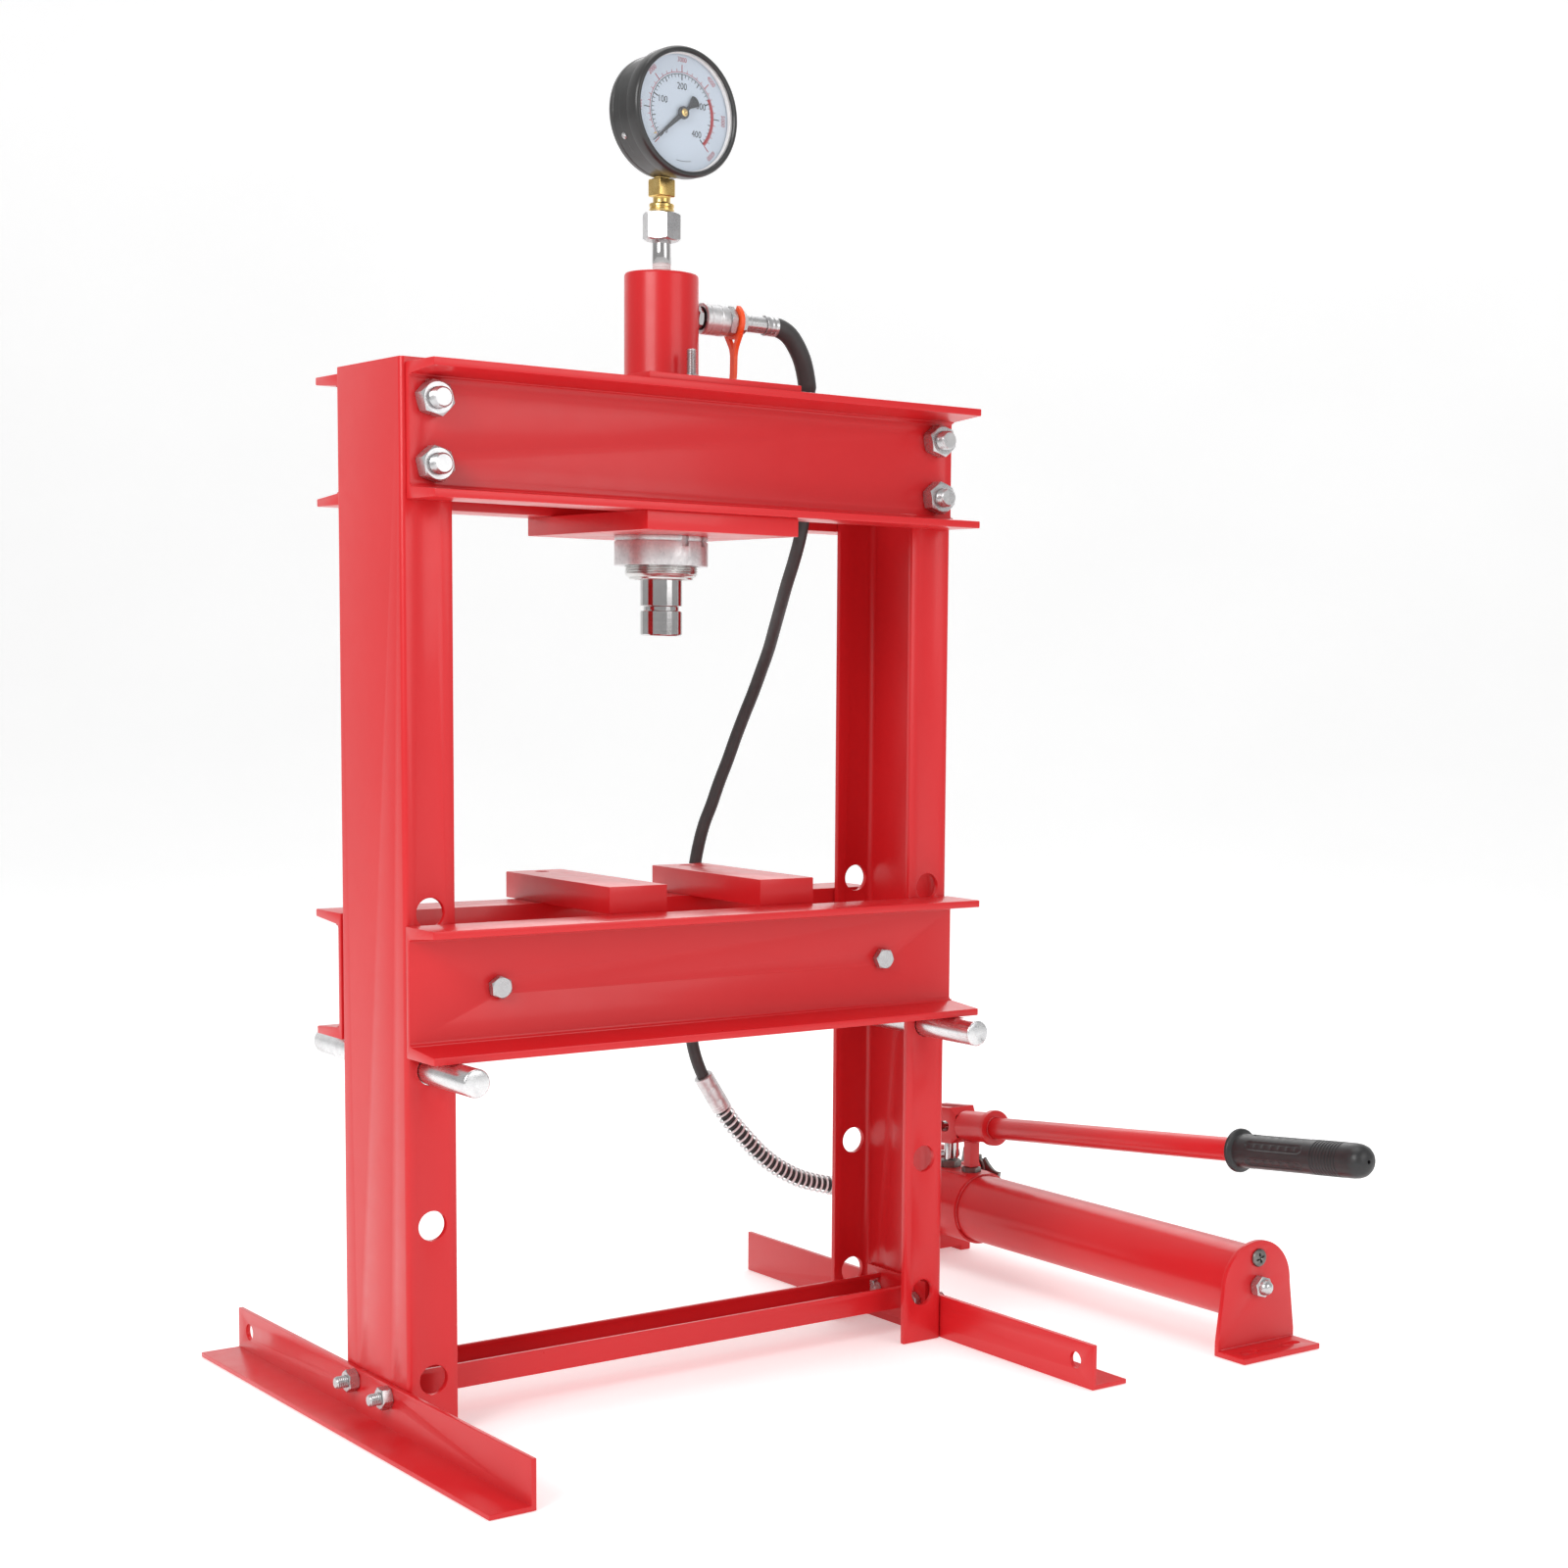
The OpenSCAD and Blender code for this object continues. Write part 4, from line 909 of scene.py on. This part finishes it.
    def arc(B, r0, r1, a0, a1, n=120):
        v, fcs = [], []
        for i in range(n + 1):
            t = math.radians(a0 + (a1 - a0) * i / n)
            for r, zz in ((r0, z - 0.14), (r1, z - 0.14), (r1, z), (r0, z)):
                v.append(m @ Vector((r * math.cos(t), r * math.sin(t), zz)))
        for i in range(n):
            for k in range(4):
                k2 = (k + 1) % 4
                fcs.append((i * 4 + k, i * 4 + k2, (i + 1) * 4 + k2, (i + 1) * 4 + k))
        fcs += [(0, 1, 2, 3), (n * 4 + 3, n * 4 + 2, n * 4 + 1, n * 4)]
        B.add(v, fcs)

    def ang(v, full):
        return 225.0 - 270.0 * v / full

    K_, R_ = Build(), Build()
    arc(K_, 29.9, 30.4, ang(0, 400), ang(288, 400))
    for i in range(0, 41):
        v = i * 10
        a = ang(v, 400)
        big, mid = v % 100 == 0, v % 50 == 0
        quad_line(K_, a, 25.4 if big else (26.4 if mid else 27.6), 30.2, 0.9 if big else (0.75 if mid else 0.5))
    arc(R_, 31.4, 31.85, ang(0, 400), ang(400, 400))
    arc(R_, 28.9, 31.2, ang(290, 400), ang(400, 400), 60)
    for i in range(0, 61):
        v = i * 100
        a = ang(v, 6000)
        big, mid = v % 1000 == 0, v % 500 == 0
        if v % 1000 == 0:
            quad_line(K_ if v in (1000, 5000) else R_, a, 31.6, 37.4, 0.7)
        elif v % 200 == 0:
            quad_line(R_, a, 31.6, 34.0, 0.42)

    def text(B, s, r, a, size, radial=False):
        cu = bpy.data.curves.new("t", "FONT")
        cu.body, cu.size, cu.align_x, cu.align_y = s, size, "CENTER", "CENTER"
        cu.extrude, cu.resolution_u = 0.0, 3
        ob = bpy.data.objects.new("t", cu)
        bpy.context.scene.collection.objects.link(ob)
        dg = bpy.context.evaluated_depsgraph_get()
        dg.update()
        me = bpy.data.meshes.new_from_object(ob.evaluated_get(dg))
        bmx = bmesh.new()
        bmx.from_mesh(me)
        g = bmesh.ops.extrude_face_region(bmx, geom=list(bmx.faces))
        for e in g["geom"]:
            if isinstance(e, bmesh.types.BMVert):
                e.co.z += 0.14
        t = math.radians(a)
        cen = Vector((r * math.cos(t), r * math.sin(t)))
        rot = math.radians(a - 90) if radial else 0.0
        c, sn = math.cos(rot), math.sin(rot)
        idx = {}
        vs = []
        for i, v in enumerate(bmx.verts):
            idx[v] = i
            x, y = v.co.x * 0.86, v.co.y
            vs.append(m @ Vector((cen.x + x * c - y * sn, cen.y + x * sn + y * c, z - 0.14 + v.co.z)))
        B.add(vs, [tuple(idx[v] for v in fc.verts) for fc in bmx.faces])
        bmx.free()
        bpy.data.objects.remove(ob)
        bpy.data.curves.remove(cu)
        bpy.data.meshes.remove(me)

    for v in (0, 100, 200, 300, 400):
        text(K_, str(v), 20.6 if v else 22.0, ang(v, 400), 7.6)
    for v in (1000, 2000, 3000, 4000, 5000, 6000):
        text(R_, str(v), 41.2, ang(v, 6000), 5.4, True)
    arc(K_, 37.2, 37.6, 262, 284, 16)
    finish_mesh("gauge_dial_black_marks", K_.v, K_.f, "ink_black", "press_frame", (), 40, fix=False)
    finish_mesh("gauge_dial_red_marks", R_.v, R_.f, "ink_red", "press_frame", (), 40, fix=False)
    # stop pin
    B = Build()
    t = math.radians(219)
    bar(B, axis_frame(m @ Vector((33.2 * math.cos(math.radians(216)), 33.2 * math.sin(math.radians(216)), 0)), f), 22.5, 25.0, 0.6, 0.1, 16)
    finish_mesh("gauge_stop_pin", B.v, B.f, "brass", "press_frame", (), 40)
    # needle on its own body
    rot = math.radians(221 - 90)
    c, s = math.cos(rot), math.sin(rot)
    B = Build()
    tip = [(-0.3, 38.6), (-2.0, 6.0), (-2.2, 0), (-1.9, -4), (-1.3, -7.6), (-4.9, -16.2), (-3.6, -17.6), (-1.8, -18.3), (0, -18.5), (1.8, -18.3), (3.6, -17.6), (4.9, -16.2), (1.3, -7.6), (1.9, -4), (2.2, 0), (2.0, 6.0), (0.3, 38.6)]
    pts = [(x * c - y * s, x * s + y * c) for x, y in tip]
    for lo, hi in ((24.6, 25.3),):
        n = len(pts)
        v = [m @ Vector((x, y, lo)) for x, y in pts] + [m @ Vector((x, y, hi)) for x, y in pts]
        v += [m @ Vector((0, 0, lo)), m @ Vector((0, 0, hi))]
        # the outline is cut into strips, so that the waist stays clean
        h = n // 2
        fcs = [(i, (i + 1) % n, (i + 1) % n + n, i + n) for i in range(n)]
        for i in range(h):
            j = n - 1 - i
            if i + 1 < j - 1 or True:
                a_, b_ = i, i + 1
                c_, d_ = j - 1, j
                if a_ == c_ or b_ == c_ and a_ == d_:
                    continue
                q = [a_, b_] + ([c_] if c_ != b_ else []) + [d_]
                if len(set(q)) >= 3:
                    fcs.append(tuple(q))
                    fcs.append(tuple(k + n for k in reversed(q)))
        B.add(v[:2 * n], fcs)
    bar(B, axis_frame(o, f), 11.2, 26.6, 1.45, 0.2, 20)
    finish_mesh("gauge_needle_hand", B.v, B.f, "needle_black", "gauge_needle", "gauge_needle", 40)
    B = Build()
    revolve(B, axis_frame(o, f), [(0, 24.0), (4.7, 24.0), (5.0, 24.4), (5.0, 26.0), (4.6, 26.5), (3.2, 26.6), (0, 26.6)], 40)
    finish_mesh("gauge_needle_boss", B.v, B.f, "needle_black", "gauge_needle", (), 40)
    B = Build()
    revolve(B, axis_frame(o, f), [(0, 26.4), (3.0, 26.4), (3.0, 26.9), (2.6, 27.15), (1.1, 27.2), (0.9, 26.9), (0, 26.9)], 32)
    finish_mesh("gauge_needle_cap", B.v, B.f, "brass", "gauge_needle", (), 40)


gauge()


# ---------------------------------------------------------------- quick coupler
def coupler():
    m = axis_frame((0, 0, 876), (1, 0, 0))
    B = Build()
    bar(B, m, 22.8, 31, 6.15, 0.2, 40)
    hexnut(B, m, 30.3, 35.4, 17, 0, turn=10, n=72)
    revolve(B, m, [(0, 35), (7.5, 35), (7.5, 56.6), (6.6, 57.6), (0, 57.6)], 56)
    finish_mesh("coupler_nipple_body", B.v, B.f, "chrome_rod", "press_frame", "coupler_nipple", 30)
    B = Build()
    revolve(B, m, [(9.6, 37.2), (11.6, 37.0), (12.4, 37.3), (12.9, 38.2), (12.9, 40.6), (12.5, 41.2), (12.5, 41.8), (12.9, 42.4), (12.9, 50.6), (12.55, 51.0), (12.55, 51.6), (12.9, 52.0), (12.9, 57.6), (12.4, 59.2), (11.2, 59.9), (9.6, 59.9)], 96, True)
    finish_mesh("coupler_sleeve_ring", B.v, B.f, "zinc_cast", "coupler_sleeve", "coupler_sleeve", 26)
    B = Build()
    ring(B, m, 44.2, 60.6, 9.45, 7.6, 0.3)
    hexnut(B, m, 60.4, 67, 22, 3.2, turn=22, n=72)
    revolve(B, m, [(3.2, 66.6), (6.8, 66.6), (7, 66.9), (7, 72), (6.8, 72.4), (3.2, 72.4)], 56, True)
    hexnut(B, m, 71.8, 77.6, 19, 3.2, turn=8, n=72)
    revolve(B, m, [(3.2, 77.2), (6.5, 77.2), (7.0, 77.8), (7.0, 82), (6.7, 82.4), (7.0, 82.8), (7.0, 97.4), (6.6, 98), (3.2, 98)], 64, True)
    finish_mesh("coupler_body_set", B.v, B.f, "zinc", "press_frame", "coupler_body", 28)
    # dust cap strap: flat ring round the coupler, forked stem, cap lying on the clamp plate
    B = Build()
    t0, t1 = 67.6, 71.2
    n = 72
    verts, faces = [], []
    for i in range(n + 1):
        a = math.radians(118 + 304 * i / n)
        for r, xx in ((9.9, t0), (14.3, t0), (14.3, t1), (9.9, t1)):
            verts.append((xx, r * math.cos(a), 876 + r * math.sin(a)))
    for i in range(n):
        for k in range(4):
            k2 = (k + 1) % 4
            faces.append((i * 4 + k, i * 4 + k2, (i + 1) * 4 + k2, (i + 1) * 4 + k))
    faces += [(3, 2, 1, 0), (n * 4, n * 4 + 1, n * 4 + 2, n * 4 + 3)]
    B.add(verts, faces)

    def ribbon(pts, w):
        line = spline(pts, 5)
        vs, fs = [], []
        tan, fr = frames_along(line)
        for i, p in enumerate(line):
            side = Vector((1, 0, 0)).cross(tan[i]).normalized()
            ww = w(i / (len(line) - 1)) / 2
            for sx, sy in ((-1, -1), (1, -1), (1, 1), (-1, 1)):
                vs.append(p + Vector((sy * 1.7, 0, 0)) + side * (sx * ww))
        for i in range(len(line) - 1):
            for k in range(4):
                k2 = (k + 1) % 4
                fs.append((i * 4 + k, i * 4 + k2, (i + 1) * 4 + k2, (i + 1) * 4 + k))
        e = (len(line) - 1) * 4
        fs += [(3, 2, 1, 0), (e, e + 1, e + 2, e + 3)]
        B.add(vs, fs)

    ribbon([(69.4, -9.6, 866.6), (69.4, -6.4, 861.5), (69.4, -2.8, 855), (69.3, -1.2, 848)], lambda t: 4.6 - 0.8 * t)
    ribbon([(69.4, 11.4, 867.4), (69.4, 7.6, 861.8), (69.4, 3.2, 855), (69.3, 1.2, 848)], lambda t: 4.6 - 0.8 * t)
    ribbon([(69.3, 0, 850), (69.2, 0.1, 842), (69.1, 0.3, 834), (68.6, 0.5, 829), (66.8, 0.7, 826), (64.0, 0.8, 825)], lambda t: 6.4 - 0.6 * t)
    mc = axis_frame((54, 0, 0), (0, 0, 1), (1, 0, 0))
    revolve(B, mc, [(0, 827), (11.2, 827), (12.2, 826.4), (12.5, 825.4), (12.5, 818.2), (12.0, 817.4), (10.6, 817.4), (10.2, 818), (10.2, 824), (0, 824)], 56)
    finish_mesh("dust_cap_strap", B.v, B.f, "orange_plastic", "press_frame", "dust_cap", 34)


coupler()


# ---------------------------------------------------------------- pump
PX, PZ = 457.0, 57.0


def pump():
    my = axis_frame((PX, 0, PZ), (0, 1, 0), (0, 0, 1))
    B = Build()
    revolve(B, my, [(30, -241), (30, 150), (32.6, 150), (33, 149.6), (33, -244.6), (32.6, -245), (5.3, -245), (5.3, -241)], 128, True)
    finish_mesh("pump_reservoir_tube", B.v, B.f, "red_paint", "press_frame", "pump_reservoir", 30)
    B = Build()
    pts = [(PX + 33.6 * math.cos(math.radians(a)), -244.0, PZ + 33.6 * math.sin(math.radians(a))) for a in range(0, 361, 12)]
    weld_bead(B, pts, 1.5, 2.2, 3)
    pts = [(PX + 33.6 * math.cos(math.radians(a)), 141.6, PZ + 33.6 * math.sin(math.radians(a))) for a in range(-40, 221, 12)]
    weld_bead(B, pts, 1.1, 2.2, 5)
    finish_mesh("pump_reservoir_welds", B.v, B.f, "weld", "press_frame", (), 60)
    skin("pump_head", "red_paint", 1.3, 30, 3, "pump_head_casting")
    # tie rod with acorn nut
    B = Build()
    mt = axis_frame((PX, -250, PZ), (0, -1, 0), (0, 0, 1))
    hexnut(B, mt, 0.3, 8.6, 17, 0, turn=12, n=72)
    revolve(B, mt, [(0, 8.0), (7.2, 8.0), (7.0, 10.4), (6.4, 12.6), (5.0, 14.6), (3.0, 15.7), (1.4, 16.05), (0, 16.1)], 56)
    bar(B, axis_frame((PX, -250.5, PZ), (0, 1, 0)), 0, 421, 4.9, 0.3, 28)
    finish_mesh("pump_tie_rod_set", B.v, B.f, "zinc", "press_frame", "pump_tie_rod", 32)
    # cross-head filler screw and the seat under the handle leg
    B = Build()
    ms = axis_frame((PX, -250, PZ + 25), (0, -1, 0), (0, 0, 1))
    n = 96
    prof = [(4.4, -4.5), (4.4, 0), (7.6, 0.02), (8.0, 0.5), (8.0, 1.5), (7.4, 2.4), (6.0, 2.95)]
    verts, rings, faces = [], [], []
    radii = [6.0, 5.0, 4.2, 3.2, 2.2, 1.2]
    allp = prof + [(r, 3.0) for r in radii[1:]]

    def dep(x, y):
        a, b = abs(x), abs(y)
        d = 0.0
        if (a < 0.95 and b < 4.4) or (b < 0.95 and a < 4.4):
            d = 1.7
        return d
    for r, zz in allp:
        idx = []
        for k in range(n):
            a = 2 * PI * (k + 0.5) / n
            x, y = r * math.cos(a + 0.3), r * math.sin(a + 0.3)
            z_ = zz - (dep(r * math.cos(a), r * math.sin(a)) if r <= 5.0 else 0)
            idx.append(len(verts))
            verts.append(ms @ Vector((x, y, z_)))
        rings.append(idx)
    for a, b in zip(rings, rings[1:]):
        for k in range(n):
            faces.append((a[k], a[(k + 1) % n], b[(k + 1) % n], b[k]))
    c0 = len(verts)
    verts.append(ms @ Vector((0, 0, 1.3)))
    verts.append(ms @ Vector((0, 0, -4.5)))
    for k in range(n):
        faces.append((c0, rings[-1][k], rings[-1][(k + 1) % n]))
        faces.append((c0 + 1, rings[0][(k + 1) % n], rings[0][k]))
    B.add(verts, faces)
    mh = axis_frame((PX, 161, 0), (0, 0, 1), (1, 0, 0))
    hexnut(B, mh, 91, 96, 17, 0, turn=15, ch0=False)
    bar(B, mh, 82.5, 91.2, 3.95, 0.2, 24)
    finish_mesh("pump_plug_set", B.v, B.f, "cast_dark", "press_frame", "pump_plugs", 34)
    # gland nut and plunger
    B = Build()
    mg = axis_frame((PX, 196, 0), (0, 0, 1), (1, 0, 0))
    hexnut(B, mg, 91, 98, 20, 6.08, turn=15)
    ring(B, mg, 79.2, 91.4, 9.9, 6.08, 0.3)
    finish_mesh("pump_gland_nut", B.v, B.f, "cast_dark", "press_frame", "pump_gland", 30)
    skin("pump_plunger", "chrome_rod", 0.4)
    skin("fulcrum_pin", "zinc", 0.5)
    # handle socket with weld ring
    rise = math.radians(-5.4)
    HI = (Matrix.Translation(Vector((PX, 222, 131.3))) @ Matrix.Rotation(rise, 4, "X")).inverted()
    HH = HI.inverted()

    def taper(bm):
        def loc(v):
            return HI @ (Vector(v.co) * 1000.0 + Vector((MX, MY, 0)))
        n = HH.to_3x3() @ Vector((0, 1, 0))
        c = Vector(P(*(HH @ Vector((0, -45.5, 0)))))
        bmesh.ops.bisect_plane(bm, geom=list(bm.verts) + list(bm.edges) + list(bm.faces), plane_co=c, plane_no=n, dist=1e-6)
        for v in bm.verts:
            q = loc(v)
            if -52.3 < q.y < -51.7 and abs(q.x) > 14.5 and (q.z > 18.5 or q.z < -16.5):
                q.x *= 0.80
                q.z = 11.4 if q.z > 0 else -11.4
                v.co = Vector(P(*(HH @ q)))

    skin("handle_socket", "red_paint", 0.6, 28, 3, "handle_socket_casting", taper)
    H = Matrix.Translation(Vector((PX, 222, 131.3))) @ Matrix.Rotation(rise, 4, "X")
    B = Build()
    weld_bead(B, [tuple(H @ Vector((6.6 * math.cos(t), -61 + 7.0 * math.sin(t), -15.1 + 0.7 * math.cos(2 * t)))) for t in [i * PI / 10 for i in range(21)]], 1.3, 2.0, 8)
    weld_bead(B, [tuple(H @ Vector((11.2 * math.cos(t), -100.2, 11.2 * math.sin(t)))) for t in [i * PI / 12 for i in range(25)]], 0.9, 2.0, 9)
    finish_mesh("handle_welds", B.v, B.f, "weld", "handle", (), 60)
    # grip
    grip(H)
    release()


def grip(H):
    hy = H @ axis_frame((0, 0, 0), (0, -1, 0), (0, 0, 1))
    B = Build()
    n = 144
    prof = []
    prof += [(10.75, 441.5), (10.75, 446.2), (16.5, 446.2), (18.6, 446.6), (19.4, 447.6), (19.4, 449.0), (18.6, 450.3), (16.4, 451.2), (15.2, 452.4)]
    zs = [455, 458, 461, 463, 464, 465, 466, 467]
    prof += [(15.0 + 0.10 * math.sin((z - 452) / 12.0), z) for z in zs]
    zs2 = [468 + i * 1.5 for i in range(0, 46)]
    prof += [(15.05, z) for z in zs2]
    prof += [(15.1, z) for z in (537, 538, 540, 543)]
    for i in range(9):
        z = 545 + i * 3.6
        prof += [(15.15, z), (15.15, z + 1.6), (14.55, z + 2.0), (14.55, z + 3.0), (15.15, z + 3.4)]
    prof += [(15.1, 579), (15.1, 582), (15.0, 588), (14.5, 593), (13.3, 597), (11.2, 600), (8.0, 602.2), (4.2, 603.2), (2.0, 603.35), (1.6, 603.0), (1.5, 596.0), (0, 595.8)]
    verts, rings, faces = [], [], []
    for r, z in prof:
        if r < 1e-6:
            rings.append([len(verts)])
            verts.append(hy @ Vector((0, 0, z)))
            continue
        idx = []
        for k in range(n):
            a = 360.0 * k / n
            rr = r
            if 467.5 < z < 536.5 and r > 14:
                # six long recessed panels with round ends
                d = abs(((a + 30) % 60) - 30)
                half = 17.5
                end = min(z - 467.5, 536.5 - z)
                lim = half if end > 7 else half * math.sqrt(max(0, 1 - ((7 - end) / 7.0) ** 2))
                e = (lim - d)
                if e > 0:
                    rr = r - 1.15 * min(1.0, e / 4.0)
                    rr += 0.55 * max(0.0, math.sin((z - 467.5) / 69.0 * PI * 14)) * min(1.0, e / 6.0) if d < 9 else 0.0
            idx.append(len(verts))
            t = math.radians(a)
            verts.append(hy @ Vector((rr * math.cos(t), rr * math.sin(t), z)))
        rings.append(idx)
    for a, b in zip(rings, rings[1:]):
        for k in range(n):
            k2 = (k + 1) % n
            if len(b) == 1:
                faces.append((a[k], a[k2], b[0]))
            else:
                faces.append((a[k], a[k2], b[k2], b[k]))
    a = rings[0]
    c = len(verts)
    verts.append(hy @ Vector((0, 0, 441.5)))
    for k in range(n):
        faces.append((c, a[(k + 1) % n], a[k]))
    B.add(verts, faces)
    finish_mesh("handle_grip_moulding", B.v, B.f, "black_plastic", "handle", "handle_grip", 34)


def release():
    B = Build()
    m = axis_frame((PX, 200, 84), (1, 0, 0), (0, 0, 1))
    bar(B, m, 14, 46, 4.95, 0.3, 32)
    revolve(B, m, [(0, 38.6), (8.4, 38.6), (9.6, 39.4), (10, 40.4), (9.6, 44.0), (8.2, 45.6), (5.2, 46), (0, 46)], 56)
    # wings: thick at the hub, waisted, with flared tips
    rot = math.radians(14)
    n = 40
    for s in (-1, 1):
        verts, rings, faces = [], [], []
        for i in range(15):
            t = i / 14.0
            y = s * (4 + 27 * t)
            half = 13.0 * (1 - t) ** 1.5 + 4.6 * t + 4.4 * t ** 3
            thick = 3.0 * (1 - 0.35 * t)
            zc = s * 0.8 * t
            idx = []
            for k in range(n):
                a = 2 * PI * k / n
                ca, sa = math.cos(a), math.sin(a)
                sq = lambda v, p: math.copysign(abs(v) ** p, v)
                x = 43 - 0.2 + thick * sq(ca, 0.6)
                zz = zc + half * sq(sa, 0.75)
                yy = y - s * (1.6 * (1 - abs(sa)) if i == 14 else 0)
                ry, rz = yy * math.cos(rot) - zz * math.sin(rot), yy * math.sin(rot) + zz * math.cos(rot)
                idx.append(len(verts))
                verts.append((PX + x, 200 + ry, 84 + rz))
            rings.append(idx)
        for a, b in zip(rings, rings[1:]):
            for k in range(n):
                faces.append((a[k], a[(k + 1) % n], b[(k + 1) % n], b[k]))
        faces.append(tuple(reversed(rings[0])))
        faces.append(tuple(rings[-1]))
        B.add(verts, faces)
    finish_mesh("release_valve_wings", B.v, B.f, "cast_dark", "release_valve", "release_valve", 40)


pump()


# ---------------------------------------------------------------- welds of the frame
def welds():
    B = Build()
    for s in (-1, 1):
        x = s * (HW - 5 - 4.3)
        for y in (-26.4, 26.4):
            weld_bead(B, [(x, y, 25), (x, y, 44)], 1.6, 2.0, 2 + s)
        weld_bead(B, [(x, -25, 27.4), (x, 25, 27.4)], 1.6, 2.0, 4 + s)
    finish_mesh("cross_member_welds", B.v, B.f, "weld", "press_frame", (), 60)
    B = Build()
    weld_bead(B, [(PX - 44, -250.6, 5.4), (PX + 44, -250.6, 5.4)], 1.2, 2.2, 12)
    finish_mesh("pump_bracket_weld", B.v, B.f, "weld", "press_frame", (), 60)


welds()


# ---------------------------------------------------------------- floor and light
def stage():
    me = bpy.data.meshes.new("floor")
    s = 14.0
    bm = bmesh.new()
    # floor that curves up far behind
    prof = [(-s, 0), (4.5, 0)] + [(4.5 + 2.5 * math.sin(a), 2.5 - 2.5 * math.cos(a)) for a in [i * PI / 2 / 12 for i in range(1, 13)]] + [(7.0, 9.0)]
    d = Vector((math.sin(math.radians(39.5)), math.cos(math.radians(39.5)), 0))
    rt = Vector((d.y, -d.x, 0))
    prev = None
    for a, z in prof:
        row = [bm.verts.new(d * a + rt * (k * s) + Vector((0, 0, z - 0.0005))) for k in (-1, 1)]
        if prev:
            bm.faces.new((prev[0], prev[1], row[1], row[0]))
        prev = row
    bmesh.ops.recalc_face_normals(bm, faces=bm.faces)
    bm.to_mesh(me)
    bm.free()
    me.polygons.foreach_set("use_smooth", [True] * len(me.polygons))
    mt = Mat("floor")
    mt.color(mt.ramp(mt.noise(1.5, 2, 0.5), [(0.3, (0.88, 0.88, 0.88)), (0.7, (0.90, 0.90, 0.90))]))
    mt.set("Roughness", 0.75)
    mt.set("Specular IOR Level", 0.2)
    mt.set("Emission Color", (1, 1, 1, 1))
    mt.set("Emission Strength", 0.34)
    me.materials.append(mt.m)
    o = bpy.data.objects.new("floor", me)
    bpy.context.scene.collection.objects.link(o)

    def area(name, loc, target, size, power, size_y=None, color=(1, 1, 1)):
        l = bpy.data.lights.new(name, "AREA")
        l.shape = "RECTANGLE"
        l.size, l.size_y = size, size_y or size
        l.energy = power
        l.color = color
        ob = bpy.data.objects.new(name, l)
        ob.location = loc
        ob.rotation_mode = "QUATERNION"
        ob.rotation_quaternion = (Vector(target) - Vector(loc)).to_track_quat("-Z", "Y")
        bpy.context.scene.collection.objects.link(ob)
        return ob

    area("key", (-3.0, -1.2, 2.2), (0, 0, 0.5), 1.8, 62, 1.8)
    area("fill", (0.9, -3.4, 1.6), (0, 0, 0.4), 2.0, 26, 1.8)
    area("top", (0.2, 0.3, 3.4), (0, 0, 0.3), 2.2, 34, 2.2)
    area("rear", (1.8, 2.6, 2.2), (0, 0, 0.6), 1.8, 14, 1.8)
    w = bpy.data.worlds.new("world")
    w.use_nodes = True
    bg = w.node_tree.nodes["Background"]
    bg.inputs[0].default_value = (1, 1, 1, 1)
    bg.inputs[1].default_value = 0.5
    bpy.context.scene.world = w
    bpy.context.scene.view_settings.view_transform = "Standard"
    bpy.context.scene.view_settings.look = "None"


stage()
